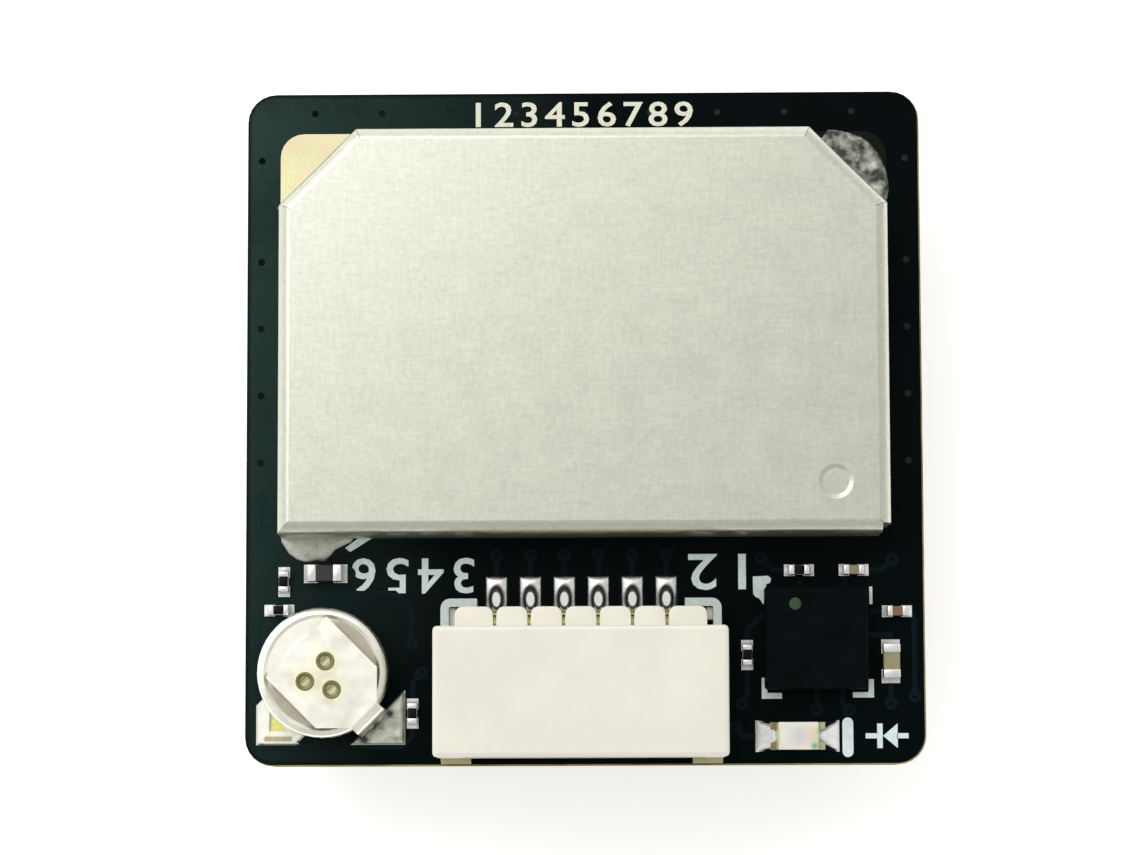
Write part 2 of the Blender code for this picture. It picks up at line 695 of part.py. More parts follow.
def make_antenna(parent, finish):
    pin_at = (0, FEED_OFFSET)
    half_x, half_y = CERAMIC_WIDTH / 2, CERAMIC_DEPTH / 2
    hole = circle(PIN_RADIUS + PIN_HOLE_CLEARANCE, SMALL_ROUND_SEGMENTS, pin_at)

    block = prism(rectangle(-half_x, -half_y, half_x, half_y), CERAMIC_Z, CERAMIC_Z + CERAMIC_HEIGHT)
    upright = [e for e in block.edges if abs(e.verts[0].co.z - e.verts[1].co.z) > CERAMIC_HEIGHT / 2]
    bmesh.ops.bevel(block, geom=upright, offset=CERAMIC_EDGE_BEVEL, segments=2, profile=0.5,
                    affect="EDGES", material=-1)
    ceramic = object_from("antenna_ceramic", block, finish["alumina"], parent)
    low, high = CERAMIC_Z - CUT_MARGIN, CERAMIC_Z + CERAMIC_HEIGHT + CUT_MARGIN
    boolean(ceramic, helper("feed_bore", prism(hole, low, high), parent=parent), "DIFFERENCE")

    electrode = bmesh.new()
    add_ring(electrode, electrode_outline(), hole, ELECTRODE_Z, ELECTRODE_Z + SILVER_THICKNESS)
    object_from("antenna_electrode", electrode, finish["silver"], parent)

    x, y = half_x - GROUND_INSET, half_y - GROUND_INSET
    ground = bmesh.new()
    add_ring(ground, rectangle(-x, -y, x, y),
             circle(GROUND_CLEARANCE_RADIUS, SMALL_ROUND_SEGMENTS, pin_at),
             GROUND_Z, GROUND_Z + SILVER_THICKNESS)
    object_from("antenna_ground_plane", ground, finish["silver"], parent)

    x, y = half_x - TAPE_INSET, half_y - TAPE_INSET
    tape = bmesh.new()
    add_ring(tape, rounded_rectangle(-x, -y, x, y, BOARD_CORNER_RADIUS, 3),
             circle(GROUND_CLEARANCE_RADIUS, SMALL_ROUND_SEGMENTS, pin_at),
             TAPE_Z, TAPE_Z + TAPE_THICKNESS)
    object_from("antenna_tape", tape, finish["tape"], parent)


def electrode_outline():
    """The radiating face, with two opposite corners trimmed for circular polarisation."""
    x, y = CERAMIC_WIDTH / 2 - ELECTRODE_INSET, CERAMIC_DEPTH / 2 - ELECTRODE_INSET
    trim, soft = ELECTRODE_TRIM, ELECTRODE_CORNER
    lower_right = arc((x - soft, soft - y), soft, 270, 360, 3)
    upper_left = arc((soft - x, y - soft), soft, 90, 180, 3)
    return [(trim - x, -y), *lower_right, (x, y - trim), (x - trim, y), *upper_left, (-x, trim - y)]


def make_feed(parent, finish):
    tip = PART_Z + PIN_PROUD
    pin = revolved([
        (0, 0),
        (PIN_HEAD_RADIUS - PIN_TIP_TAPER, 0),
        (PIN_HEAD_RADIUS, PIN_TIP_TAPER),
        (PIN_HEAD_RADIUS, PIN_HEAD_THICKNESS),
        (PIN_RADIUS, PIN_HEAD_THICKNESS),
        (PIN_RADIUS, tip - PIN_TIP_TAPER),
        (PIN_RADIUS - PIN_TIP_TAPER, tip),
        (0, tip),
    ], ROUND_SEGMENTS // 2)
    object_from("feed_pin", pin, finish["tin"], parent, (0, FEED_OFFSET, 0))

    inner = PIN_RADIUS + FIT_GAP
    low = LAND_TOP + FIT_GAP
    flare = [(FEED_JOINT_RADIUS, low)]
    for i in range(1, BEND_STEPS):
        share = i / BEND_STEPS
        radius = inner + (FEED_JOINT_RADIUS - inner) * (1 - share) ** 2
        flare.append((radius + FIT_GAP, low + FEED_JOINT_HEIGHT * share))
    joint = revolved([(inner, low), *flare, (inner + FIT_GAP, low + FEED_JOINT_HEIGHT),
                      (inner, low + FEED_JOINT_HEIGHT)], ROUND_SEGMENTS // 2, closed=True)
    object_from("feed_solder_joint", joint, finish["tin"], parent, (0, FEED_OFFSET, 0))


# Shield can


def wall_reach(corners, i):
    """How far a wall widens below its bend, so that it nearly meets the wall round the corner."""
    here = corners[i]
    before = here - corners[i - 1]
    after = corners[(i + 1) % len(corners)] - here
    turn = before.angle(after)
    return CAN_RELIEF + (CAN_BEND_RADIUS - CAN_SHEET) * math.tan(turn / 2) - CAN_SEAM / 2


def can_corners():
    """Corners of the flat top plate, inside the bends. Its two rear corners are cut off."""
    x = CAN_WIDTH / 2 - CAN_BEND_RADIUS
    y = CAN_DEPTH / 2 - CAN_BEND_RADIUS
    cut = CAN_CHAMFER
    corners = [(-x, -y), (x, -y), (x, y - cut), (x - cut, y), (cut - x, y), (-x, y - cut)]
    return [Vector((*corner, 0)) for corner in corners]


def make_can(parent, finish):
    """One sheet: a top plate with two cut corners, and a wall folded down from each edge."""
    corners = can_corners()
    bm = bmesh.new()
    plate, ends = [], []
    for i, corner in enumerate(corners):
        before, after = corners[i - 1], corners[(i + 1) % len(corners)]
        back = (before - corner).normalized() * CAN_RELIEF
        on = (after - corner).normalized() * CAN_RELIEF
        trio = [bm.verts.new(corner + step) for step in (back, Vector(), on)]
        plate += trio
        ends.append((trio[2], trio[0]))
    bm.faces.new(plate)
    for i, (start, _) in enumerate(ends):
        end = ends[(i + 1) % len(corners)][1]
        along = (end.co - start.co).normalized()
        edge = fold(bm, edge_between(bm, start, end), along.cross(UP), CAN_BEND_RADIUS, DOWN)
        edge = extruded_edge(bm, edge, DOWN * CAN_WALL_SHOULDER)
        low, high = sorted(edge.verts, key=lambda vert: vert.co.dot(along))
        low.co -= along * wall_reach(corners, i)
        high.co += along * wall_reach(corners, (i + 1) % len(corners))
        extruded_edge(bm, edge, DOWN * (CAN_HEIGHT - CAN_BEND_RADIUS - CAN_WALL_SHOULDER))
    top = PART_Z + CAN_HEIGHT
    can = object_from("shield_can", bm, finish["nickel silver"], parent, (0, CAN_MIDDLE_Y, top),
                      level=1)
    thicken(can, CAN_SHEET)
    stamp_dimple(can, parent, (CAN_WIDTH / 2 - DIMPLE_FROM_SIDE, CAN_FRONT_Y + DIMPLE_FROM_FRONT, top))


def stamp_dimple(can, parent, place):
    """Presses a shallow round dimple into the top plate, right through the sheet."""
    under, middle = -CAN_SHEET, -CAN_SHEET / 2
    bump = revolved([(0, under - DIMPLE_DEPTH), (DIMPLE_FLAT_RADIUS, under - DIMPLE_DEPTH),
                     (DIMPLE_RADIUS, under), (DIMPLE_RADIUS, middle), (0, middle)],
                    SMALL_ROUND_SEGMENTS)
    boolean(can, helper("dimple_bump", bump, parent=parent, location=place), "UNION")
    spread = (DIMPLE_RADIUS - DIMPLE_FLAT_RADIUS) / DIMPLE_DEPTH * CAN_SHEET
    dent = revolved([(0, -DIMPLE_DEPTH), (DIMPLE_FLAT_RADIUS, -DIMPLE_DEPTH),
                     (DIMPLE_RADIUS + spread, CAN_SHEET), (0, CAN_SHEET)], SMALL_ROUND_SEGMENTS)
    boolean(can, helper("dimple_dent", dent, parent=parent, location=place), "DIFFERENCE")


# Side-entry connector. Its own frame has x along the row, y back from the mouth, z up from the lands


def make_housing(parent, finish):
    half = CONNECTOR_WIDTH / 2
    body = prism(rectangle(-half, 0, half, CONNECTOR_DEPTH), 0, CONNECTOR_HEIGHT)
    bmesh.ops.bevel(body, geom=list(body.edges), offset=CONNECTOR_EDGE_BEVEL, segments=2, profile=0.5,
                    affect="EDGES", material=-1)
    housing = object_from("connector_housing", body, finish["ivory"], parent)
    boolean(housing, helper("connector_comb", comb(), parent=parent), "UNION")
    boolean(housing, helper("connector_mouth", mouth(), parent=parent), "DIFFERENCE")
    boolean(housing, helper("contact_slots", contact_slots(), parent=parent), "DIFFERENCE")
    boolean(housing, helper("nail_slots", nail_slots(), parent=parent), "DIFFERENCE")
    boolean(housing, helper("nail_recesses", nail_recesses(), parent=parent), "DIFFERENCE")


def contact_slots():
    """A slot through the back wall for each contact, and a channel down the comb for its leg."""
    bm = bmesh.new()
    half = CONTACT_WIDTH / 2 + SLOT_CLEARANCE
    above = CONTACT_LEVEL + CONTACT_THICKNESS / 2 + SLOT_CLEARANCE
    below = CONTACT_LEVEL - CONTACT_THICKNESS / 2 - SLOT_CLEARANCE
    inside = CONNECTOR_DEPTH - BACK_WALL - CUT_MARGIN
    back = CONNECTOR_DEPTH + COMB_DEPTH + CUT_MARGIN
    outline = [(inside, below), (CONNECTOR_DEPTH, below), (CONNECTOR_DEPTH, -CUT_MARGIN),
               (back, -CUT_MARGIN), (back, above), (inside, above)]
    for way in range(WAYS):
        add_cross_prism(bm, outline, contact_x(way) - half, contact_x(way) + half)
    return bm


def side_span(side, inner, outer):
    """The low and high x of a span on one side of the connector."""
    return sorted((side * inner, side * outer))


def nail_slots():
    """The slots that the nails' blades slide into from behind."""
    bm = bmesh.new()
    for side in (-1, 1):
        low, high = side_span(side, NAIL_OUTER_X - NAIL_THICKNESS - FIT_GAP, NAIL_OUTER_X + FIT_GAP)
        slot = rectangle(low, NAIL_SETBACK - FIT_GAP, high, CONNECTOR_DEPTH + CUT_MARGIN)
        add_prism(bm, slot, -CUT_MARGIN, NAIL_HEIGHT + FIT_GAP)
    return bm


def nail_recesses():
    """The recesses under the housing's ends that the nails' feet lie in."""
    bm = bmesh.new()
    for side in (-1, 1):
        low, high = side_span(side, NAIL_OUTER_X - NAIL_FOOT_WIDTH - FIT_GAP,
                              CONNECTOR_WIDTH / 2 + CUT_MARGIN)
        recess = rectangle(low, -CUT_MARGIN, high, NAIL_FOOT_LENGTH + FIT_GAP)
        add_prism(bm, recess, -CUT_MARGIN, NAIL_BEND_RADIUS + FIT_GAP)
    return bm


def comb():
    """The round-cornered teeth behind the housing, which close over the contacts' legs up to a
    narrow slit above each one."""
    end = ROW_HALF + CONTACT_WIDTH / 2 + COMB_END_RIB
    lows = [-end, *(contact_x(way) + COMB_SLIT / 2 for way in range(WAYS))]
    highs = [*(contact_x(way) - COMB_SLIT / 2 for way in range(WAYS)), end]
    root = CONNECTOR_DEPTH - BACK_WALL / 2
    corner_y = CONNECTOR_DEPTH + COMB_DEPTH - COMB_CORNER
    bm = bmesh.new()
    for low, high in zip(lows, highs):
        right = arc((high - COMB_CORNER, corner_y), COMB_CORNER, 0, 90, CORNER_SEGMENTS)
        left = arc((low + COMB_CORNER, corner_y), COMB_CORNER, 90, 180, CORNER_SEGMENTS)
        add_prism(bm, [(low, root), (high, root), *right, *left], 0, COMB_HEIGHT)
    return bm


def mouth():
    """The plug's pocket, with a keyway beside each end of the floor."""
    half = CONNECTOR_WIDTH / 2 - SIDE_WALL
    roof = CONNECTOR_HEIGHT - ROOF
    key = FLOOR + KEY_HEIGHT
    outline = [(-half - KEY_WIDTH, FLOOR), (half + KEY_WIDTH, FLOOR), (half + KEY_WIDTH, key),
               (half, key), (half, roof), (-half, roof), (-half, key), (-half - KEY_WIDTH, key)]
    bm = bmesh.new()
    face = bm.faces.new([bm.verts.new((x, -CUT_MARGIN, z)) for x, z in outline])
    extrude(bm, [face], Vector((0, CUT_MARGIN + CONNECTOR_DEPTH - BACK_WALL, 0)))
    return bm


def contact_outline():
    """Side view of a contact as (y, z) points: blade, bend, leg, bend and foot."""
    thick, half = CONTACT_THICKNESS, CONTACT_THICKNESS / 2
    bend = CONTACT_BEND_RADIUS
    leg = CONNECTOR_DEPTH + COMB_DEPTH - CONTACT_LEG_INSET
    toe = CONNECTOR_DEPTH + COMB_DEPTH + CONTACT_FOOT_REACH
    tip, full = CONTACT_TIP_SETBACK, CONTACT_TIP_SETBACK + CONTACT_TIP_TAPER
    upper = (leg - bend, CONTACT_LEVEL - bend)
    lower = (leg + bend, bend + half)
    return [
        (tip, CONTACT_LEVEL + half / 2),
        (full, CONTACT_LEVEL + half),
        *arc(upper, bend + half, 90, 0, BEND_STEPS),
        *arc(lower, bend - half, 180, 270, BEND_STEPS),
        (toe, thick),
        (toe, 0),
        *arc(lower, bend + half, 270, 180, BEND_STEPS),
        *arc(upper, bend - half, 0, 90, BEND_STEPS),
        (full, CONTACT_LEVEL - half),
        (tip, CONTACT_LEVEL - half / 2),
    ]


def make_contacts(parent, finish):
    shared = bmesh.new()
    add_cross_prism(shared, contact_outline(), -CONTACT_WIDTH / 2, CONTACT_WIDTH / 2)
    first = object_from("contact_1", shared, finish["tin"], parent)
    first.location.x = contact_x(0)
    for way in range(1, WAYS):
        copy = bpy.data.objects.new(f"contact_{way + 1}", first.data)
        bpy.context.scene.collection.objects.link(copy)
        copy.parent = parent
        copy.location.x = contact_x(way)


def make_nail(parent, finish, side, name):
    """A solder nail: a foot under the housing's end, and a blade folded up into its slot that
    runs back past the housing, stands taller there and turns in behind the comb."""
    inner, hinge_x = NAIL_OUTER_X - NAIL_FOOT_WIDTH, NAIL_OUTER_X - NAIL_BEND_RADIUS
    toe, front = NAIL_OUTER_X + NAIL_TOE_SPREAD, -NAIL_TOE_REACH
    slit = NAIL_SETBACK - NAIL_THICKNESS / 2
    outline = [(inner, front), (toe, front), (toe, slit), (hinge_x, slit), (hinge_x, NAIL_SETBACK),
               (hinge_x, NAIL_FOOT_LENGTH), (inner, NAIL_FOOT_LENGTH)]
    bm = bmesh.new()
    verts = [bm.verts.new((side * x, y, 0)) for x, y in outline]
    bm.faces.new(verts)
    hinge = edge_between(bm, verts[4], verts[5])
    bent = fold(bm, hinge, Vector((side, 0, 0)), NAIL_BEND_RADIUS, UP)
    low = rearmost(bent.verts)
    rim = extruded_edge(bm, bent, UP * (NAIL_SHOULDER - NAIL_BEND_RADIUS))
    high = rearmost(rim.verts)
    past_comb = CONNECTOR_DEPTH + COMB_DEPTH + FIT_GAP + NAIL_THICKNESS
    rearward, inward = Vector((0, 1, 0)), Vector((-side, 0, 0))
    tail = extruded_edge(bm, edge_between(bm, low, high),
                         rearward * (past_comb - NAIL_BEND_RADIUS - NAIL_FOOT_LENGTH))
    tail = fold(bm, tail, rearward, NAIL_BEND_RADIUS, inward)
    extruded_edge(bm, tail, inward * (NAIL_RETURN - NAIL_BEND_RADIUS))
    middle = (NAIL_BEND_RADIUS + NAIL_SHOULDER) / 2
    upper = [v for v in bm.verts if v.co.z > middle and v.co.y > high.co.y - MERGE_DISTANCE]
    brim = [e for e in bm.edges if e.verts[0] in upper and e.verts[1] in upper]
    raised = bmesh.ops.extrude_edge_only(bm, edges=brim)["geom"]
    bmesh.ops.translate(bm, verts=[v for v in raised if isinstance(v, bmesh.types.BMVert)],
                        vec=UP * (NAIL_HEIGHT - NAIL_SHOULDER))
    nail = object_from(name, bm, finish["tin"], parent, level=-1)
    thicken(nail, NAIL_THICKNESS)


def rearmost(verts):
    return max(verts, key=lambda vert: vert.co.y)


# Rechargeable cell. Its own frame has its middle at the origin and z up from the lands


def make_cell(parent, finish):
    base = TERMINAL_SHEET + FIT_GAP
    top = base + CELL_HEIGHT
    shoulder = top - CELL_CAP_RISE
    corner = arc((CELL_RADIUS - CELL_SHOULDER, shoulder - CELL_SHOULDER), CELL_SHOULDER, 0, 90, 4)
    foot = CELL_SHOULDER / 2
    case = revolved([(0, base), (CELL_RADIUS - foot, base), (CELL_RADIUS, base + foot), *corner,
                     (CELL_MOUTH_RADIUS, shoulder - CELL_SHOULDER / 3),
                     (CELL_MOUTH_RADIUS, shoulder - CELL_SHOULDER), (0, shoulder - CELL_SHOULDER)])
    object_from("cell_case", case, finish["steel"], parent)

    inner, outer = CELL_CAP_RADIUS + FIT_GAP, CELL_MOUTH_RADIUS - FIT_GAP
    low, high = shoulder - CELL_SHOULDER + FIT_GAP, shoulder - CELL_SHOULDER / 4
    gasket = revolved([(inner, low), (outer, low), (outer, high), (inner, high)], closed=True)
    object_from("cell_gasket", gasket, finish["gasket"], parent)

    cap_edge = arc((CELL_CAP_RADIUS - CELL_SHOULDER / 2, top - CELL_SHOULDER / 2), CELL_SHOULDER / 2,
                   0, 90, 3)
    cap = revolved([(0, low), (CELL_CAP_RADIUS, low), *cap_edge, (0, top)])
    object_from("cell_cap", cap, finish["steel"], parent)


def diagonal(u, v):
    """A point of the upper terminal, from how far it lies along its leg and across."""
    return (u + v) / math.sqrt(2), (v - u) / math.sqrt(2)


def make_top_terminal(parent, finish):
    """One strip: a plate welded to the cap, a leg down past the case and a square-cornered foot."""
    plate_top = TERMINAL_SHEET + FIT_GAP + CELL_HEIGHT + FIT_GAP + TERMINAL_SHEET
    bend_u = LEG_U - LEG_BEND_RADIUS
    taper = TERMINAL_HALF_WIDTH - LEG_HALF_WIDTH
    plan = [(-TERMINAL_TAIL, -TERMINAL_HALF_WIDTH), (bend_u - taper, -TERMINAL_HALF_WIDTH),
            (bend_u, -LEG_HALF_WIDTH), (bend_u, LEG_HALF_WIDTH),
            (bend_u - taper, TERMINAL_HALF_WIDTH), (-TERMINAL_TAIL, TERMINAL_HALF_WIDTH)]
    bm = bmesh.new()
    verts = [bm.verts.new((*diagonal(u, v), plate_top)) for u, v in plan]
    bm.faces.new(verts)
    outward = Vector((*diagonal(1, 0), 0))
    edge = fold(bm, edge_between(bm, verts[2], verts[3]), outward, LEG_BEND_RADIUS, DOWN)
    foot_radius = LEG_BEND_RADIUS - TERMINAL_SHEET
    drop = plate_top - LEG_BEND_RADIUS - foot_radius - TERMINAL_SHEET
    edge = extruded_edge(bm, edge, DOWN * drop)
    edge = fold(bm, edge, DOWN, foot_radius, outward)
    right, front = sorted(edge.verts, key=lambda vert: -vert.co.y)
    end_u = LEG_U + foot_radius
    across = LEG_HALF_WIDTH + LEG_SLIT
    toes = top_foot_outline()
    outline = [diagonal(end_u, across), diagonal(LEG_U, across), toes[2], toes[1], toes[0],
               diagonal(LEG_U, -across), diagonal(end_u, -across)]
    bm.faces.new([right, *(bm.verts.new((x, y, TERMINAL_SHEET)) for x, y in outline), front])
    terminal = object_from("cell_top_terminal", bm, finish["steel"], parent, level=1)
    thicken(terminal, TERMINAL_SHEET)

    spots = helper("weld_spots", weld_spots(), parent=parent,
                   location=(0, WELD_MIDDLE_Y, plate_top))
    boolean(terminal, spots, "DIFFERENCE")


def weld_spots():
    """Three shallow dished spots where the terminal is welded to the cap."""
    bm = bmesh.new()
    for turn in WELD_TURNS:
        angle = math.radians(turn)
        spot = Matrix.Translation((WELD_SPREAD * math.cos(angle), WELD_SPREAD * math.sin(angle), 0))
        bmesh.ops.create_cone(bm, cap_ends=True, segments=SMALL_ROUND_SEGMENTS, matrix=spot,
                              radius1=WELD_FLOOR_RADIUS, radius2=WELD_RADIUS, depth=2 * WELD_DEPTH)
    return bm


def make_base_terminal(parent, finish):
    """The flat lower terminal, welded under the case, with a solder window in its corner."""
    outline = base_foot_outline()
    terminal = object_from("cell_base_terminal", prism(outline, 0, TERMINAL_SHEET), finish["steel"],
                           parent)
    x, y = outline[0][0] + BASE_RIM_WIDTH, outline[0][1] + BASE_RIM_WIDTH
    window = [(x, y), (x + BASE_WINDOW_SIDE, y), (x, y + BASE_WINDOW_SIDE)]
    cutter = prism(window, -CUT_MARGIN, CUT_MARGIN)
    boolean(terminal, helper("base_terminal_window", cutter, parent=parent), "DIFFERENCE")


# Chips, lamp and chip components


def make_chip(name, parent, finish, size, place, pin_one=False):
    length, width, height = size
    x, y = place
    chip = object_from(name, bevelled_block(length, width, height, CHIP_BEVEL), finish, parent,
                       (x, y, PART_Z))
    if not pin_one:
        return
    dot = revolved([(0, -PIN_ONE_DEPTH), (PIN_ONE_RADIUS, -PIN_ONE_DEPTH),
                    (PIN_ONE_RADIUS, PIN_ONE_DEPTH), (0, PIN_ONE_DEPTH)], SMALL_ROUND_SEGMENTS)
    corner = (x - length / 2 + PIN_ONE_FROM_SIDE, y + width / 2 - PIN_ONE_FROM_REAR, PART_Z + height)
    boolean(chip, helper(f"{name}_pin_one", dot, parent=parent, location=corner), "DIFFERENCE")


def make_canned(name, parent, finish, size, place):
    """A ceramic base with a metal lid seamed on it."""
    length, width, height = size
    x, y = place
    object_from(f"{name}_base", bevelled_block(length, width, height, CHIP_BEVEL), finish["alumina"],
                parent, (x, y, PART_Z))
    lid = bevelled_block(length - 2 * LID_INSET, width - 2 * LID_INSET, LID_THICKNESS, LID_THICKNESS / 3)
    object_from(f"{name}_lid", lid, finish["steel"], parent, (x, y, PART_Z + height + FIT_GAP))


def make_lamp(parent, finish):
    half_l, half_w, notch = LAMP_LENGTH / 2, LAMP_WIDTH / 2, LAMP_END_NOTCH
    right = arc((half_l, 0), notch, 270, 90, CORNER_SEGMENTS)
    left = arc((-half_l, 0), notch, 90, -90, CORNER_SEGMENTS)
    outline = [(-half_l, -half_w), (half_l, -half_w), *right, (half_l, half_w), (-half_l, half_w), *left]
    object_from("lamp_base", prism(outline, 0, LAMP_BASE_HEIGHT), finish["white"], parent,
                (LAMP_X, LAMP_Y, PART_Z))

    bm = prism(rectangle(-LAMP_LENS_LENGTH / 2, -half_w, LAMP_LENS_LENGTH / 2, half_w), 0,
               LAMP_LENS_HEIGHT)
    for vert in bm.verts:
        if vert.co.z > LAMP_LENS_HEIGHT / 2:
            vert.co.x -= math.copysign(LAMP_LENS_DRAFT, vert.co.x)
    object_from("lamp_lens", bm, finish["lens"], parent,
                (LAMP_X, LAMP_Y, PART_Z + LAMP_BASE_HEIGHT + FIT_GAP))


def make_component(name, parent, finish, package, x, y, turned):
    """A chip component: a fired body between two end bands that stand slightly proud."""
    length, width, height, band = package
    step = BAND_STEP
    bm = bmesh.new()
    rings = []
    for at, inset in ((-length / 2, 0), (band - length / 2, 0), (band - length / 2, step),
                      (length / 2 - band, step), (length / 2 - band, 0), (length / 2, 0)):
        half = width / 2 - inset
        section = rectangle(-half, inset, half, height - inset)
        rings.append([bm.verts.new((at, across, up)) for across, up in section])
    for first, second in zip(rings, rings[1:]):
        for i in range(4):
            j = (i + 1) % 4
            bm.faces.new((first[i], first[j], second[j], second[i]))
    bm.faces.new(rings[0])
    bm.faces.new(rings[-1])
    object_from(name, bm, finish, parent, (x, y, PART_Z), math.pi / 2 if turned else 0.0)


# Placement of the chip components: name, package, x, y, turned, finish


def front_placements():
    """The components that can be seen in front of the can."""
    rear = from_front(REAR_PARTS_AT)
    bead_y = from_front(BEAD_AT)
    clock_x = COMPASS_X - COMPASS_SIDE / 2 - CLOCK_TO_COMPASS
    charge_x = CELL_X + CELL_RADIUS + FOOT_SIDE_REACH + CHARGE_TO_CELL
    corner_x = CELL_X - CELL_RADIUS / math.sqrt(2)
    corner_y = CELL_Y + CELL_RADIUS / math.sqrt(2)
    return [
        ("data_pullup_resistor", SMALL, COMPASS_X - PULLUP_SHIFT, rear, False, "epoxy"),
        ("compass_core_capacitor", SMALL, COMPASS_X + CORE_CAPACITOR_SHIFT, rear, False, "olive"),
        ("compass_pump_capacitor", SMALL, SIDE_PART_X, COMPASS_Y + SIDE_PART_RISE, False, "brown"),
        ("compass_supply_capacitor", MEDIUM, CHOKE_X, COMPASS_Y - CHOKE_DROP, True, "olive"),
        ("clock_pullup_resistor", SMALL, clock_x, COMPASS_Y - CLOCK_PART_DROP, True, "epoxy"),
        ("cell_charge_resistor", SMALL, charge_x, CELL_Y - CHARGE_PART_DROP, True, "epoxy"),
        ("lamp_resistor", SMALL, corner_x, corner_y + LAMP_PART_RISE, False, "epoxy"),
        ("pulse_resistor", SMALL, corner_x + PULSE_PART_SHIFT, corner_y + PULSE_PART_RISE, True, "epoxy"),
        ("supply_bead", MEDIUM, CELL_X + BEAD_SHIFT, bead_y, False, "ferrite"),
    ]


def inner_places():
    """Middles of the circuits under the can, level with its middle and clear of the feed pin."""
    y = CAN_MIDDLE_Y
    receiver = (-(FEED_JOINT_RADIUS + INNER_GAP + RECEIVER_SIDE / 2), y)
    receiver_rear = y + RECEIVER_SIDE / 2
    receiver_front = y - RECEIVER_SIDE / 2
    amplifier = (FEED_JOINT_RADIUS + INNER_GAP + AMPLIFIER_SIDE / 2, y)
    saw = (amplifier[0] + AMPLIFIER_SIDE / 2 + INNER_GAP + FILTER_LENGTH / 2, y)
    regulator_y = y - max(AMPLIFIER_SIDE, FILTER_WIDTH) / 2 - 2 * INNER_GAP - MEDIUM_WIDTH \
        - REGULATOR_SIDE / 2
    return {
        "receiver": receiver,
        "oscillator": (receiver[0], receiver_rear + INNER_GAP + OSCILLATOR_WIDTH / 2),
        "crystal": (receiver[0], receiver_front - INNER_GAP - CRYSTAL_WIDTH / 2),
        "amplifier": amplifier,
        "filter": saw,
        "regulator": (saw[0], regulator_y),
    }


def inner_placements(places):
    """The components hidden under the can, set round the circuits that they serve."""
    receiver_x, receiver_y = places["receiver"]
    oscillator_x, oscillator_y = places["oscillator"]
    amplifier_x, amplifier_y = places["amplifier"]
    filter_x, _ = places["filter"]
    regulator_x, regulator_y = places["regulator"]
    bank_x = receiver_x - RECEIVER_SIDE / 2 - INNER_GAP - MEDIUM_WIDTH / 2
    bank_pitch = MEDIUM_LENGTH + INNER_GAP
    match_y = amplifier_y + AMPLIFIER_SIDE / 2 + INNER_GAP + MEDIUM_WIDTH / 2
    match_pitch = MEDIUM_LENGTH + INNER_GAP
    below_y = regulator_y + REGULATOR_SIDE / 2 + INNER_GAP + MEDIUM_WIDTH / 2
    beside_x = regulator_x - REGULATOR_SIDE / 2 - INNER_GAP - MEDIUM_WIDTH / 2
    coil_x = beside_x - MEDIUM_WIDTH / 2 - INNER_GAP - LARGE_WIDTH / 2
    placements = []
    for i in range(3):
        placements.append((f"receiver_capacitor_{i + 1}", MEDIUM, bank_x,
                           receiver_y + (i - 1) * bank_pitch, True, "olive"))
    for i, (name, finish) in enumerate((("match_coil", "ferrite"), ("match_capacitor", "olive"),
                                        ("bias_coil", "ferrite"))):
        placements.append((name, MEDIUM, amplifier_x + i * match_pitch, match_y, False, finish))
    clock_x = oscillator_x - OSCILLATOR_LENGTH / 2 - INNER_GAP - MEDIUM_WIDTH / 2
    placements += [
        ("oscillator_capacitor", MEDIUM, clock_x, oscillator_y, True, "olive"),
        ("amplifier_capacitor", MEDIUM, amplifier_x, below_y, False, "olive"),
        ("regulator_output_capacitor", MEDIUM, filter_x, below_y, False, "olive"),
        ("regulator_input_capacitor", MEDIUM, beside_x, regulator_y, True, "olive"),
        ("core_supply_coil", LARGE, coil_x, regulator_y, True, "ferrite"),
    ]
    return placements


def make_circuits(parent, finish, places):
    make_chip("receiver_chip", parent, finish["epoxy"], (RECEIVER_SIDE, RECEIVER_SIDE, RECEIVER_HEIGHT),
              places["receiver"], True)
    make_canned("oscillator", parent, finish,
                (OSCILLATOR_LENGTH, OSCILLATOR_WIDTH, OSCILLATOR_HEIGHT), places["oscillator"])
    make_canned("clock_crystal", parent, finish,
                (CRYSTAL_LENGTH, CRYSTAL_WIDTH, CRYSTAL_HEIGHT), places["crystal"])
    make_chip("antenna_filter", parent, finish["alumina"],
              (FILTER_LENGTH, FILTER_WIDTH, FILTER_HEIGHT), places["filter"])
    make_chip("antenna_amplifier", parent, finish["epoxy"],
              (AMPLIFIER_SIDE, AMPLIFIER_SIDE, AMPLIFIER_HEIGHT), places["amplifier"])
    make_chip("voltage_regulator", parent, finish["epoxy"],
              (REGULATOR_SIDE, REGULATOR_SIDE, REGULATOR_HEIGHT), places["regulator"])


def main():
    clear_scene()
    finish = finishes()
    module = group("gps_module")
    places = inner_places()
    placements = front_placements() + inner_placements(places)

    make_antenna(module, finish)
    make_feed(module, finish)
    make_board(module, finish["mask"], placements)
    make_can(module, finish)

    connector = group("connector", (CONNECTOR_X, CONNECTOR_FRONT_Y, PART_Z))
    connector.parent = module
    make_housing(connector, finish)
    make_contacts(connector, finish)
    make_nail(connector, finish, -1, "solder_nail_left")
    make_nail(connector, finish, 1, "solder_nail_right")

    cell = group("backup_cell", (CELL_X, CELL_Y, PART_Z))
    cell.parent = module
    make_base_terminal(cell, finish)
    make_cell(cell, finish)
    make_top_terminal(cell, finish)

    make_chip("compass_chip", module, finish["epoxy"], (COMPASS_SIDE, COMPASS_SIDE, COMPASS_HEIGHT),
              (COMPASS_X, COMPASS_Y), True)
    make_lamp(module, finish)
    make_circuits(module, finish, places)
    for name, package, x, y, turned, surface in placements:
        make_component(name, module, finish[surface], package, x, y, turned)


main()
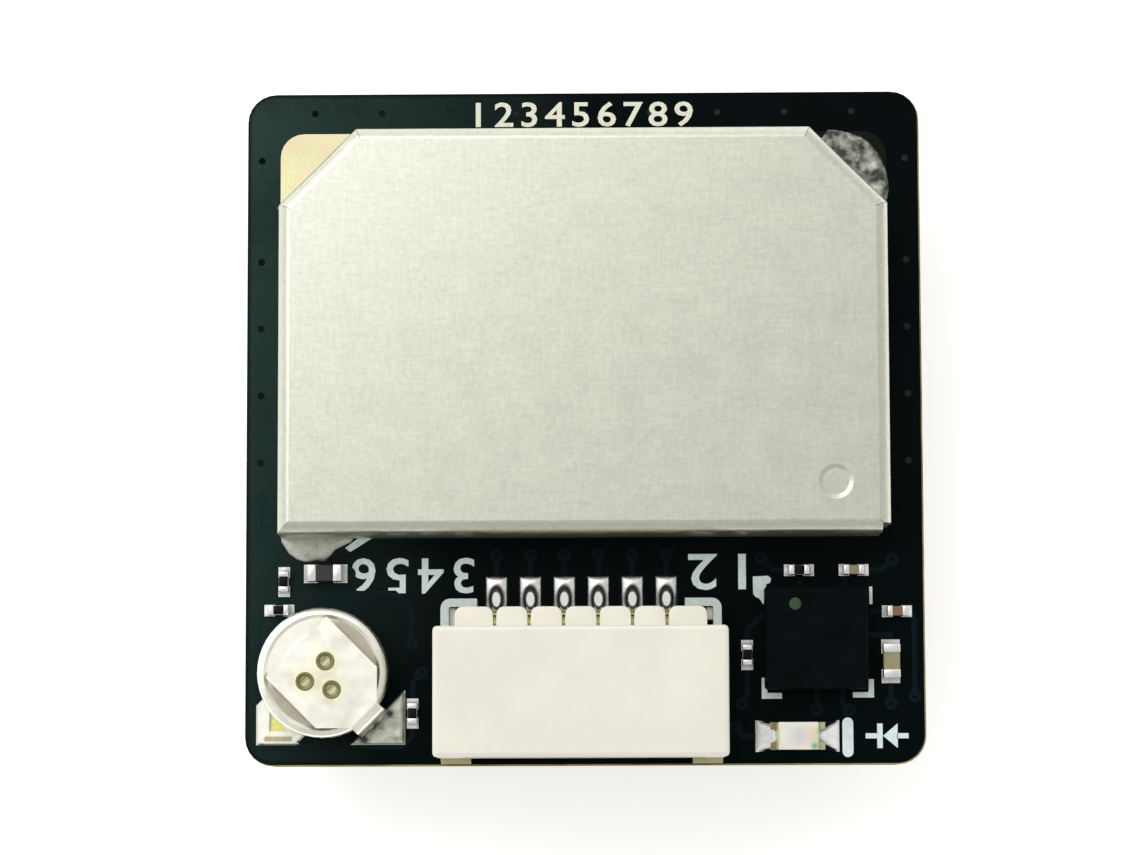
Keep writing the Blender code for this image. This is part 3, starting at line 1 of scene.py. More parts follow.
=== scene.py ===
"""Satellite positioning module: finishes, solder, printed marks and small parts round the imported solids.

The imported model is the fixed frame. Each operator makes or dresses one piece or one group of like
pieces, and the last one sets the stage. Lengths are in metres, +Z is up from the antenna to the
component side, and the connector's mouth faces -Y. Tables of places are in millimetres.
"""

import math
from collections import Counter
from contextlib import contextmanager
from functools import cached_property, partialmethod

import bmesh
import bpy
from bpy.props import FloatProperty, FloatVectorProperty, IntProperty, PointerProperty
from bpy.types import Operator, Panel, PropertyGroup
from mathutils import Matrix, Vector, noise


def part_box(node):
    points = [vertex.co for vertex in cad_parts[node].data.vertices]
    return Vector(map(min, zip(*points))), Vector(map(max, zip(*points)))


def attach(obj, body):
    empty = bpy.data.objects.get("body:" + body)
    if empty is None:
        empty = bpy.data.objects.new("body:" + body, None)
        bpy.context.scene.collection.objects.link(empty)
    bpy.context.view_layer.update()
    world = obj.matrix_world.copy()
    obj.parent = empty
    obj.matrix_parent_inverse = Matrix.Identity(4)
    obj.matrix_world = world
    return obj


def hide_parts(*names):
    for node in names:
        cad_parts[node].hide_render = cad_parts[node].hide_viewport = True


bl_info = {
    "name": "Satellite positioning module",
    "version": (1, 0, 0),
    "blender": (4, 5, 0),
    "location": "View3D > Sidebar > Module",
    "description": "Finishes, solder and printed marks for a small positioning module",
    "category": "Object",
}

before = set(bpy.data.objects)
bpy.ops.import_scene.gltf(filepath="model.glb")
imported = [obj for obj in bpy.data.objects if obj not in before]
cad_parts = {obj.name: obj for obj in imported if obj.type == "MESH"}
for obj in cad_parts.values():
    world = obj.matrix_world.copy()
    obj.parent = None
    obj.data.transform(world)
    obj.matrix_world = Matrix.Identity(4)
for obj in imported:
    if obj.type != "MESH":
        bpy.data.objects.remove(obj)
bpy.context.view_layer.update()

MM = 0.001
UP = Vector((0, 0, 1))
WHITE = (1.0, 1.0, 1.0)
# Points closer than this become one
MERGE = 0.00005 * MM

# Levels and corners of the frame
LAND_THICKNESS = 0.04 * MM
BOARD_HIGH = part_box("circuit_board")[1]
LAND_TOP = BOARD_HIGH.z
BOARD_TOP = LAND_TOP - LAND_THICKNESS
CAN_LOW, CAN_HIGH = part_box("shield_can")
CELL_LOW, CELL_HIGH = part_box("cell_case")
CHIP_LOW, CHIP_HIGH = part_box("compass_chip")
LAMP_LOW, LAMP_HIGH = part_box("lamp_base")
LAMP_MIDDLE = (LAMP_LOW + LAMP_HIGH) / 2
LENS_LOW, LENS_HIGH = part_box("lamp_lens")
HOUSING_LOW, HOUSING_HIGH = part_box("connector_housing")
FOOT_LEVEL = LAND_TOP + 0.03 * MM
BOARD_CORNER = 0.85 * MM

CONTACTS = [f"contact_{way}" for way in range(1, 7)]
NAILS = ["solder_nail_left", "solder_nail_right"]

# Components in front of the can: node, kind of body
FRONT_COMPONENTS = (
    ("data_pullup_resistor", "resistor"),
    ("clock_pullup_resistor", "resistor"),
    ("cell_charge_resistor", "resistor"),
    ("lamp_resistor", "resistor"),
    ("pulse_resistor", "resistor"),
    ("compass_core_capacitor", "olive"),
    ("compass_supply_capacitor", "olive"),
    ("compass_pump_capacitor", "brown"),
    ("supply_bead", "ferrite"),
)
# Components under the can: node, kind of body
INNER_COMPONENTS = (
    ("receiver_capacitor_1", "olive"),
    ("receiver_capacitor_2", "olive"),
    ("receiver_capacitor_3", "olive"),
    ("match_coil", "ferrite"),
    ("match_capacitor", "olive"),
    ("bias_coil", "ferrite"),
    ("oscillator_capacitor", "olive"),
    ("amplifier_capacitor", "olive"),
    ("regulator_output_capacitor", "olive"),
    ("regulator_input_capacitor", "olive"),
    ("core_supply_coil", "ferrite"),
)
# Material slot and body finish of each kind
BODY_KINDS = {
    "resistor": ("black_compound", "alumina substrate"),
    "olive": ("olive_dielectric", "olive dielectric"),
    "brown": ("brown_dielectric", "brown dielectric"),
    "ferrite": ("dark_ferrite", "dark ferrite"),
}


def linear(red, green, blue):
    """Scene-linear colour from display values of 0 to 255."""
    values = []
    for value in (red, green, blue):
        share = value / 255
        values.append(share / 12.92 if share <= 0.04045 else ((share + 0.055) / 1.055) ** 2.4)
    return tuple(values)


def metres(points):
    """Points given in millimetres, in metres."""
    return [(x * MM, y * MM) for x, y in points]


def colour_property(name, description, red, green, blue):
    return FloatVectorProperty(name=name, description=description, subtype="COLOR", size=3, min=0.0,
                               max=1.0, default=linear(red, green, blue))


def length_property(name, description, default):
    return FloatProperty(name=name, description=description, default=default, min=0.0,
                         unit="LENGTH", subtype="DISTANCE", precision=5)


# Settings


class BoardSettings(PropertyGroup):
    mask_colour: colour_property("Mask", "Solder mask over the laminate", 36, 54, 50)
    # Painted shade: the mask's colour where its painted sheen fades, and along its rounded edge
    mask_shade_colour: colour_property("Far mask", "Solder mask at the darker side", 2, 9, 10)
    track_colour: colour_property("Tracks", "Solder mask where copper lies under it", 28, 52, 50)
    # Painted shade: the tracks' colour where their painted sheen fades
    track_shade_colour: colour_property("Far tracks", "Tracks at the darker side", 9, 23, 26)
    laminate_colour: colour_property("Laminate", "Bare glass laminate at the edges", 150, 144, 96)
    land_colour: colour_property("Lands", "Gold flash on the bare lands", 208, 203, 160)
    stained_colour: colour_property("Stained gold", "Yellower gold under the cell", 240, 238, 140)
    tinned_colour: colour_property("Tinned lands", "Lands under the components", 214, 214, 204)
    hole_colour: colour_property("Filled holes", "Mask that fills the stitching holes", 3, 8, 9)
    # The filled holes' colour at the far end of the painted sheen
    far_hole_colour: colour_property("Far holes", "Filled holes at the darker side", 34, 44, 44)
    # Painted shade: dark colour inside the stitching holes, also on the lands painted dark with flux and
    # shade
    hole_shade_colour: colour_property("Holes", "Inside of the stitching holes", 22, 26, 20)
    ink_colour: colour_property("Ink", "Printed marks", 222, 238, 234)
    rear_ink_colour: colour_property("Rear ink", "Printed marks behind the can", 232, 232, 212)
    ink_height: length_property("Ink height", "How far the ink stands over the mask", 0.018 * MM)
    track_height: length_property("Track height", "How far a track lifts the mask", 0.018 * MM)
    track_width: length_property("Track width", "Width of a track", 0.16 * MM)
    via_radius: length_property("Via radius", "Outer radius of a small via", 0.2 * MM)


class CanSettings(PropertyGroup):
    colour: colour_property("Sheet", "Nickel silver sheet", 209, 209, 194)
    sheet: length_property("Sheet thickness", "Thickness of the sheet", 0.2 * MM)
    bend: length_property("Bend radius", "Outer radius of the bends", 0.35 * MM)
    chamfer: length_property("Cut corners", "Length cut off each rear corner", 2.05 * MM)
    dimple: length_property("Dimple radius", "Outer radius of the stamped dimple", 0.51 * MM)
    dimple_depth: length_property("Dimple depth", "Depth of the stamped dimple", 0.046 * MM)
    fillet: length_property("Solder width", "Width of the solder along the walls", 0.1 * MM)


class ConnectorSettings(PropertyGroup):
    nylon_colour: colour_property("Nylon", "Moulded housing", 234, 231, 217)
    tin_colour: colour_property("Tin", "Contacts, nails and terminations", 236, 237, 234)
    # Gold flash with painted shade: the contacts' dark olive inside the comb's slits
    flash_and_shade_colour: colour_property("Gold flash", "Contacts inside the housing", 150, 146, 92)
    nail_colour: colour_property("Nails", "Tin on the solder nails", 192, 202, 196)
    toe_colour: colour_property("Nail toes", "Olive-tan toes of the nails", 190, 185, 140)
    solder_colour: colour_property("Solder", "Solder joints", 236, 236, 232)
    dull_colour: colour_property("Dull solder", "Large joints that cooled slowly", 204, 206, 192)
    clean_colour: colour_property("Clean solder", "Small fresh joints", 252, 252, 250)
    mound_height: length_property("Solder height", "Height of the solder beside a contact",
                                  0.13 * MM)


class CellSettings(PropertyGroup):
    steel_colour: colour_property("Steel", "Nickel-plated case and terminals", 247, 246, 232)
    gasket_colour: colour_property("Gasket", "Seal between case and cap", 188, 179, 160)
    scorch_colour: colour_property("Weld tint", "Heat tint round the welds", 128, 124, 84)
    halo_colour: colour_property("Weld halo", "Faint tint beside the welds", 244, 238, 200)
    weld_colour: colour_property("Weld", "Middle of a weld", 176, 174, 136)
    pale_weld_colour: colour_property("Pale weld", "Ridge in the middle of a weld", 220, 217, 186)
    # Painted shade on the front strip of the lower terminal
    strip_shade_colour: colour_property("Stain", "Bare strip of the lower terminal", 188, 178, 146)
    weld_radius: length_property("Weld radius", "Radius of a weld's rim", 0.25 * MM)


class PartSettings(PropertyGroup):
    compound_colour: colour_property("Compound", "Black moulding compound", 4, 11, 12)
    dot_colour: colour_property("Pin one dot", "Lasered dot of the compass chip", 58, 76, 58)
    resistor_colour: colour_property("Overcoat", "Black coat of the resistors", 5, 6, 8)
    substrate_colour: colour_property("Substrate", "Alumina under the overcoat", 226, 224, 216)
    olive_colour: colour_property("Olive dielectric", "Body of the capacitors", 148, 140, 104)
    brown_colour: colour_property("Brown dielectric", "Body of the brown capacitor", 128, 92, 66)
    ferrite_colour: colour_property("Ferrite", "Body of the beads and coils", 40, 38, 38)
    laminate_colour: colour_property("Lamp base", "White laminate of the lamp", 232, 230, 222)
    # Gold plating with painted shade at the lamp's two ends
    lamp_shaded_gold_colour: colour_property("Lamp plating", "Plated end beside the lamp's base", 152, 138, 98)
    lamp_shaded_tint_colour: colour_property("Lamp tint", "Other plated end of the lamp", 190, 190, 142)
    lamp_mark_colour: colour_property("Lamp mark", "Green glint in the resin", 120, 190, 150)
    resin_colour: colour_property("Lamp resin", "Clear resin of the lamp", 238, 234, 218)
    fillet_share: FloatProperty(name="Fillet height", description="Share of a body's height that "
                                "its solder climbs", default=0.62, min=0.0, max=1.0,
                                subtype="FACTOR")


class AntennaSettings(PropertyGroup):
    ceramic_colour: colour_property("Ceramic", "Fired antenna block", 205, 192, 164)
    silver_colour: colour_property("Silver", "Fired silver faces", 228, 226, 219)
    tape_colour: colour_property("Tape", "Foam tape under the board", 220, 220, 216)
    joint_reach: length_property("Joint reach", "Width of the solder round the pin's head",
                                 0.3 * MM)


class StageSettings(PropertyGroup):
    floor_colour: colour_property("Floor", "Pale floor", 246, 246, 245)
    floor_size: length_property("Floor size", "Side of the square floor", 1.2)
    sky: FloatProperty(name="Sky", description="Light from all round", default=0.9, min=0.0)
    lamp_power: FloatProperty(name="Lamp", description="Power of the soft lamp", default=0.112,
                              min=0.0, unit="POWER")
    lamp_size: length_property("Lamp size", "Side of the soft lamp", 0.12)
    lens: FloatProperty(name="Lens", description="Focal length in millimetres", default=117.35,
                        min=1.0)
    round_segments: IntProperty(name="Round segments", description="Sides of a round piece",
                                default=48, min=12, max=128)


SETTINGS = (
    ("module_board", BoardSettings),
    ("module_can", CanSettings),
    ("module_connector", ConnectorSettings),
    ("module_cell", CellSettings),
    ("module_parts", PartSettings),
    ("module_antenna", AntennaSettings),
    ("module_stage", StageSettings),
)


# Node trees


class Network:
    """A node tree, with short calls for the nodes that a finish or the sky uses."""

    def __init__(self, tree):
        self.tree = tree

    def node(self, kind, inputs=(), **settings):
        """A new node with its settings set and its inputs fed, by name or number."""
        node = self.tree.nodes.new(kind)
        for name, value in settings.items():
            setattr(node, name, value)
        for name, value in dict(inputs).items():
            self.feed(node.inputs[name], value)
        return node

    def feed(self, socket, value):
        """Joins a node's output to a socket, or sets the socket to a plain number or colour."""
        if isinstance(value, bpy.types.NodeSocket):
            self.tree.links.new(value, socket)
        else:
            socket.default_value = (*value, 1.0) if socket.type == "RGBA" else value

    def math(self, operation, first, second=0.0):
        return self.node("ShaderNodeMath", {0: first, 1: second}, operation=operation).outputs[0]

    add = partialmethod(math, "ADD")
    subtract = partialmethod(math, "SUBTRACT")
    multiply = partialmethod(math, "MULTIPLY")
    larger = partialmethod(math, "MAXIMUM")
    above = partialmethod(math, "GREATER_THAN")
    below = partialmethod(math, "LESS_THAN")
    absolute = partialmethod(math, "ABSOLUTE")
    root = partialmethod(math, "SQRT")

    def weigh(self, *parts):
        """Adds up factors, each times its share."""
        scaled = [self.multiply(factor, share) for factor, share in parts]
        total = scaled[0]
        for part in scaled[1:]:
            total = self.add(total, part)
        return total

    def dot(self, vector, other):
        return self.node("ShaderNodeVectorMath", {0: vector, 1: other},
                         operation="DOT_PRODUCT").outputs["Value"]

    def blend(self, factor, first, second):
        """Blends two numbers."""
        return self.node("ShaderNodeMix", {0: factor, 2: first, 3: second}).outputs[0]

    def mix(self, factor, first, second):
        """Blends two colours."""
        return self.node("ShaderNodeMix", {0: factor, 6: first, 7: second},
                         data_type="RGBA").outputs[2]

    def spread(self, factor, low, high, to_low=0.0, to_high=1.0):
        """Maps low..high of a factor on to another range."""
        return self.node("ShaderNodeMapRange", {"Value": factor, "From Min": low, "From Max": high,
                                                "To Min": to_low, "To Max": to_high}).outputs[0]


class Surface(Network):
    """One finish: a shader and the patterns that feed it, all on object coordinates."""

    def __init__(self, name, colour, roughness, metallic=0.0):
        self.material = bpy.data.materials.new(name)
        self.material.use_nodes = True
        super().__init__(self.material.node_tree)
        self.shader = self.tree.nodes["Principled BSDF"]
        self.colour = colour
        self.set("Base Color", colour)
        self.set("Roughness", roughness)
        self.set("Metallic", metallic)
        self.place = self.node("ShaderNodeTexCoord").outputs["Object"]

    def set(self, name, value):
        """Feeds a socket of the shader."""
        self.feed(self.shader.inputs[name], value)

    def fed(self, name):
        """The output that feeds a socket of the shader."""
        return self.shader.inputs[name].links[0].from_socket

    def vary(self, name, factor, low, high):
        """Takes a number of the shader from low to high as a factor goes from 0 to 1."""
        self.set(name, self.spread(factor, 0.0, 1.0, low, high))

    @cached_property
    def axes(self):
        """X, Y and Z of the object coordinates."""
        return self.node("ShaderNodeSeparateXYZ", {0: self.place}).outputs

    def noise(self, size, detail=3.0, stretch=(1, 1, 1), sharpness=0.5):
        """Cloudy noise whose spots are about size across, drawn out along an axis by stretch."""
        scale = [1 / (size * part) for part in stretch]
        mapping = self.node("ShaderNodeMapping", {"Vector": self.place, "Scale": scale})
        texture = self.node("ShaderNodeTexNoise", {"Vector": mapping.outputs[0], "Scale": 1.0,
                                                   "Detail": detail, "Roughness": sharpness})
        return texture.outputs["Fac"]

    def cells(self, size):
        """Distance to the nearest of scattered points that lie about size apart."""
        return self.node("ShaderNodeTexVoronoi", {"Vector": self.place,
                                                  "Scale": 1 / size}).outputs["Distance"]

    def contrast(self, factor, low=0.3, high=0.7):
        """A pattern with the middle of its range spread over 0 to 1."""
        return self.spread(factor, low, high)

    def flux(self):
        """How much dark flux and painted shade lies on the solder, as the mesh says."""
        return self.node("ShaderNodeAttribute", attribute_name="flux").outputs["Fac"]

    def shade(self, factor, low, high, colour=None):
        """The colour, made darker or lighter by the factor."""
        colour = colour or self.colour
        return self.mix(factor, [part * low for part in colour],
                        [min(part * high, 1.0) for part in colour])

    def within(self, low, high, soft):
        """1 inside a rectangle of X and Y, 0 outside it, blended at its edges. In millimetres."""
        x, y, _ = self.axes
        found = 1.0
        for axis, limit, step in ((x, low[0], soft), (x, high[0], -soft), (y, low[1], soft),
                                  (y, high[1], -soft)):
            inside = self.spread(axis, (limit - step) * MM, (limit + step) * MM)
            found = self.multiply(inside, found)
        return found

    def distance(self, x, y):
        """How far a point lies from an upright axis."""
        aside = [self.subtract(axis, middle) for axis, middle in zip(self.axes, (x, y))]
        return self.root(self.add(*[self.multiply(side, side) for side in aside]))

    def relief(self, height, depth, strength=1.0):
        """Bumps the surface by the height, depth metres from lowest to highest."""
        bump = self.node("ShaderNodeBump", {"Strength": strength, "Distance": depth,
                                            "Height": height})
        self.set("Normal", bump.outputs["Normal"])


# Finishes

# Painted sheen: the mask darkens along x - MASK_LEAN * y from near to far, lighter on the near side as if
# the lamp's reflection fell there, and its clouds move the limits
MASK_NEAR, MASK_FAR = -8.5 * MM, 0.5 * MM
MASK_LEAN = 0.3
MASK_CLOUDS = 6 * MM


def mask_surface(name, colour, far_colour):
    """Glossy solder mask with a soft weave and specks, blended from its near colour at -X and +Y to its
    far colour at +X and -Y: a painted sheen in place of the lamp's reflection.
    """
    surface = Surface(name, colour, 0.4)
    cloud = surface.noise(2.4 * MM, 4.0)
    speck = surface.noise(0.12 * MM, 2.0)
    both = surface.contrast(surface.weigh((cloud, 0.7), (speck, 0.3)), 0.35, 0.65)
    x, y, _ = surface.axes
    across = surface.weigh((x, 1.0), (y, -MASK_LEAN), (cloud, MASK_CLOUDS))
    # Painted sheen and shade: near colour toward -X and +Y, far colour toward +X and -Y
    surface.set("Base Color", surface.mix(surface.spread(across, MASK_NEAR, MASK_FAR),
                                          surface.shade(both, 0.72, 1.35),
                                          surface.shade(both, 0.72, 1.35, far_colour)))
    surface.vary("Roughness", surface.contrast(cloud), 0.34, 0.46)
    surface.set("Specular IOR Level", 0.03)
    surface.relief(speck, 0.004 * MM, 0.5)
    return surface


# The mask's print lies this far toward -X and +Y, and ends this far inside the board's outline
MASK_SHIFT = 0.022 * MM
MASK_MARGIN = 0.02 * MM
# Distances from the board's outline: the painted shade along the mask's rounded edge, and the faces that
# count as side walls
EDGE_SHADE_INNER, EDGE_SHADE_OUTER = 0.16 * MM, 0.06 * MM
EDGE_SHADE_SHARE = 0.75
WALL_DEPTH = 0.2 * MM

# What shows on the raised lands: tint, corners of a rectangle, softness of its edge
LAND_AREAS = (
    ("gold", (-9.2, -4.05), (9.2, 9.0), 0.002),
    ("mask", (-9.2, -4.05), (9.2, -3.28), 0.002),
    ("mask", (8.4, -4.05), (9.2, -2.9), 0.002),
    # Flux and painted shade: the land beside the can's top-right pool
    ("flux", (6.0, 6.2), (9.2, 9.0), 0.002),
    ("stained", (-9.26, -8.98), (-8.5, -8.5), 0.1),
    # Flux and painted shade: the lands round the lamp's ends
    ("flux", (4.9, -9.8), (7.5, -8.6), 0.002),
    ("gold", (-4.6, -10.0), (4.6, -9.7), 0.002),
)
# How red, green and blue change where the gold turns pink
PINK = (1.02, 0.93, 1.04)


def board_material(settings):
    """Mask on the faces, glass laminate at the edges, gold or tin on the raised lands."""
    surface = mask_surface("solder mask and laminate", settings.mask_colour,
                           settings.mask_shade_colour)
    x, y, z = surface.axes
    squares = []
    for axis, shift in ((x, MASK_SHIFT), (y, -MASK_SHIFT)):
        printed = surface.absolute(surface.add(axis, shift))
        past = surface.larger(surface.subtract(printed, BOARD_HIGH.x - BOARD_CORNER), 0.0)
        squares.append(surface.multiply(past, past))
    reach = surface.root(surface.add(*squares))
    # Painted shade: the mask darkens toward the board's rounded edge
    rim = surface.spread(reach, BOARD_CORNER - EDGE_SHADE_INNER, BOARD_CORNER - EDGE_SHADE_OUTER, 0.0, EDGE_SHADE_SHARE)
    masked = surface.mix(rim, surface.fed("Base Color"), settings.mask_shade_colour)
    normal = surface.node("ShaderNodeNewGeometry").outputs["True Normal"]
    facing = surface.node("ShaderNodeSeparateXYZ", {0: normal}).outputs[2]
    upright = surface.below(surface.absolute(facing), 0.5)
    wall = surface.multiply(upright, surface.above(reach, BOARD_CORNER - WALL_DEPTH))
    edge = surface.larger(surface.above(reach, BOARD_CORNER - MASK_MARGIN), wall)
    inner = surface.subtract(1.0, edge)
    barrel = surface.multiply(upright, inner)
    raised = surface.above(z, BOARD_TOP + LAND_THICKNESS / 2)

    grain = surface.contrast(surface.noise(0.05 * MM, 2.0))
    stain = surface.contrast(surface.noise(0.5 * MM, 4.0), 0.4, 0.6)
    pink = [part * tone for part, tone in zip(settings.land_colour, PINK)]
    gold = surface.mix(stain, surface.shade(grain, 0.9, 1.05, settings.land_colour), pink)
    tints = {
        "gold": (gold, 1.0),
        "stained": (surface.shade(grain, 0.9, 1.05, settings.stained_colour), 1.0),
        # Flux and painted shade on the lands, in the holes' dark shade colour
        "flux": (surface.shade(grain, 0.8, 1.2, settings.hole_shade_colour), 0.0),
        "mask": (masked, 0.0),
    }
    lands, bright = surface.shade(grain, 0.88, 1.05, settings.tinned_colour), 1.0
    for tint, low, high, soft in LAND_AREAS:
        there = surface.within(low, high, soft)
        colour, metal = tints[tint]
        lands = surface.mix(there, lands, colour)
        bright = surface.blend(there, bright, metal)
    # Painted shade inside the stitching holes
    lands = surface.mix(barrel, lands, settings.hole_shade_colour)

    layers = surface.contrast(surface.noise(0.9 * MM, 3.0, (1, 1, 0.08)), 0.35, 0.65)
    laminate = surface.shade(layers, 0.62, 1.15, settings.laminate_colour)
    surface.set("Base Color", surface.mix(surface.larger(raised, barrel),
                                          surface.mix(edge, masked, laminate), lands))
    surface.set("Metallic", surface.multiply(surface.multiply(raised, inner), bright))
    surface.set("Roughness", surface.blend(edge, surface.fed("Roughness"), 0.8))
    return surface.material


# Printed marks that lie further back than this are creamier
CREAMY_INK_FROM_Y = 8 * MM


def ink_material(settings):
    """Screened ink, a little uneven in thickness."""
    surface = Surface("printing ink", settings.ink_colour, 0.6)
    patch = surface.noise(0.16 * MM, 4.0)
    uneven = surface.contrast(patch)
    creamier = surface.shade(uneven, 0.86, 1.03, settings.rear_ink_colour)
    behind = surface.above(surface.axes[1], CREAMY_INK_FROM_Y)
    surface.set("Base Color", surface.mix(behind, surface.shade(uneven, 0.86, 1.05), creamier))
    surface.relief(patch, 0.006 * MM, 0.6)
    return surface.material


def sheet_material(name, colour):
    """Rolled nickel silver: fine crossed grain, soft clouds and mottling."""
    surface = Surface(name, colour, 0.4, 1.0)
    crossed = surface.weigh((surface.noise(0.035 * MM, 3.0, (14, 1, 1)), 0.5),
                            (surface.noise(0.035 * MM, 3.0, (1, 14, 1)), 0.5))
    cloud = surface.noise(0.9 * MM, 5.0, sharpness=0.6)
    mottle = surface.noise(0.16 * MM, 3.0, sharpness=0.6)
    tone = surface.contrast(surface.weigh((crossed, 0.5), (cloud, 0.12), (mottle, 0.38)), 0.38, 0.62)
    surface.set("Base Color", surface.shade(tone, 0.88, 1.07))
    surface.vary("Roughness", surface.contrast(cloud, 0.35, 0.65), 0.32, 0.36)
    surface.relief(crossed, 0.003 * MM, 0.5)
    return surface.material


def plated_material(name, colour, roughness, grain=0.06 * MM, depth=0.003 * MM):
    """Bright plating with a fine grain."""
    surface = Surface(name, colour, roughness, 1.0)
    cloud = surface.contrast(surface.noise(grain * 9))
    surface.set("Base Color", surface.shade(cloud, 0.92, 1.05))
    surface.vary("Roughness", cloud, roughness * 0.85, roughness * 1.2)
    surface.relief(surface.noise(grain, 2.0), depth, 0.35)
    return surface.material


# Dark colour of flux, and of the painted shade and shadow that the solder's attribute carries
FLUX_AND_SHADE_COLOUR = linear(38, 40, 32)


def solder_material(name, colour):
    """Frozen solder: bright and faintly rippled, dark where the flux and painted shade attribute says so.
    """
    surface = Surface(name, colour, 0.3, 1.0)
    ripple = surface.noise(0.13 * MM)
    patch = surface.contrast(surface.noise(0.4 * MM), 0.35, 0.65)
    flux = surface.flux()
    surface.set("Base Color", surface.mix(flux, surface.shade(patch, 0.86, 1.06), FLUX_AND_SHADE_COLOUR))
    surface.set("Metallic", surface.subtract(1.0, flux))
    surface.vary("Roughness", surface.contrast(ripple), 0.24, 0.42)
    surface.relief(ripple, 0.008 * MM, 0.6)
    return surface.material


def dull_solder_material(name, colour):
    """Solder that cooled slowly: grainy, with as many dark spots as the flux and painted shade attribute
    asks.
    """
    surface = Surface(name, colour, 0.52, 0.8)
    grain = surface.noise(0.07 * MM)
    both = surface.weigh((grain, 0.45), (surface.noise(0.34 * MM), 0.55))
    clean = surface.shade(surface.contrast(both, 0.38, 0.62), 0.8, 1.12)
    marks = surface.weigh((surface.noise(0.3 * MM, 2.0), 1.0), (surface.flux(), 0.3))
    spots = surface.contrast(marks, 0.58, 1.0)
    surface.set("Base Color", surface.mix(spots, clean, FLUX_AND_SHADE_COLOUR))
    surface.vary("Metallic", spots, 0.8, 0.0)
    surface.vary("Roughness", surface.contrast(grain), 0.44, 0.6)
    surface.relief(both, 0.012 * MM, 0.6)
    return surface.material


def clean_solder_material(name, colour):
    """Small fresh joints under a clear film of flux: pale from every side."""
    surface = Surface(name, colour, 0.42, 0.35)
    ripple = surface.noise(0.1 * MM)
    tone = surface.contrast(ripple)
    surface.set("Base Color", surface.shade(tone, 0.86, 1.04))
    surface.vary("Roughness", tone, 0.34, 0.5)
    surface.relief(ripple, 0.006 * MM, 0.5)
    return surface.material


def moulded_material(name, colour, roughness):
    """Spark-eroded moulding skin over a slightly translucent plastic."""
    surface = Surface(name, colour, roughness)
    skin = surface.noise(0.05 * MM)
    surface.set("Base Color", surface.shade(surface.contrast(surface.noise(1.6 * MM)), 0.96, 1.03))
    surface.vary("Roughness", surface.contrast(skin), roughness * 0.85, roughness * 1.15)
    surface.set("Subsurface Weight", 0.08)
    surface.set("Subsurface Scale", 0.15 * MM)
    surface.relief(skin, 0.004 * MM, 0.5)
    return surface.material


def compound_material(name, colour):
    """Filled moulding compound: matt, with fine bright filler."""
    surface = Surface(name, colour, 0.55)
    surface.set("Specular IOR Level", 0.03)
    filler = surface.noise(0.03 * MM, 2.0)
    both = surface.weigh((filler, 0.6), (surface.noise(0.6 * MM), 0.4))
    surface.set("Base Color", surface.shade(surface.contrast(both, 0.35, 0.65), 0.7, 1.6))
    surface.relief(filler, 0.004 * MM, 0.6)
    return surface.material


def fired_material(name, colour, roughness, gloss=0.5):
    """Fired ceramic or glass: fine pits and faint clouds."""
    surface = Surface(name, colour, roughness)
    surface.set("Specular IOR Level", gloss)
    pits = surface.cells(0.04 * MM)
    both = surface.weigh((pits, 0.4), (surface.noise(0.5 * MM, 4.0), 0.6))
    surface.set("Base Color", surface.shade(surface.contrast(both, 0.25, 0.6), 0.86, 1.08))
    surface.relief(pits, 0.004 * MM, 0.5)
    return surface.material


def foam_material(name, colour):
    """Closed-cell foam tape."""
    surface = Surface(name, colour, 0.85)
    cells = surface.cells(0.07 * MM)
    surface.set("Base Color", surface.shade(surface.contrast(cells, 0.1, 0.6), 0.82, 1.04))
    surface.relief(cells, 0.02 * MM, 0.8)
    return surface.material


# Tints under the lamp's resin, by their share of its length
RESIN_TINTS = ((0.0, linear(222, 218, 160)), (0.14, linear(244, 242, 226)),
               (0.5, linear(214, 218, 214)), (0.72, linear(236, 216, 208)),
               (0.88, linear(222, 218, 182)), (1.0, linear(206, 208, 168)))
# The tints fill the resin's middle and fade between these distances from it
TINT_INNER, TINT_OUTER = 0.15 * MM, 0.34 * MM
GLINT_FROM_END = 0.17 * MM
GLINT_FROM_MIDDLE = 0.3 * MM
GLINT_RADIUS = 0.15 * MM


def resin_material(settings):
    """Clear cast resin over a pale reflector, with the tints of the die and plating under it."""
    surface = Surface("clear resin", settings.resin_colour, 0.12)
    cloud = surface.noise(0.3 * MM)
    x, y, _ = surface.axes
    across = surface.spread(x, LENS_LOW.x, LENS_HIGH.x)
    tint = RESIN_TINTS[0][1]
    for (start, _), (end, following) in zip(RESIN_TINTS, RESIN_TINTS[1:]):
        tint = surface.mix(surface.spread(across, start, end), tint, following)
    middle = surface.spread(surface.absolute(surface.subtract(y, LAMP_MIDDLE.y)), TINT_INNER,
                            TINT_OUTER, 1.0, 0.0)
    tinted = surface.mix(middle, surface.shade(cloud, 0.98, 1.02), tint)
    away = surface.distance(LENS_HIGH.x - GLINT_FROM_END, LAMP_MIDDLE.y - GLINT_FROM_MIDDLE)
    glint = surface.spread(away, GLINT_RADIUS * 0.3, GLINT_RADIUS, 1.0, 0.0)
    surface.set("Base Color", surface.mix(glint, tinted, settings.lamp_mark_colour))
    surface.set("Subsurface Weight", 0.35)
    surface.set("Subsurface Scale", 0.2 * MM)
    surface.set("Coat Weight", 0.6)
    surface.set("Coat Roughness", 0.06)
    surface.relief(cloud, 0.006 * MM, 0.4)
    return surface.material


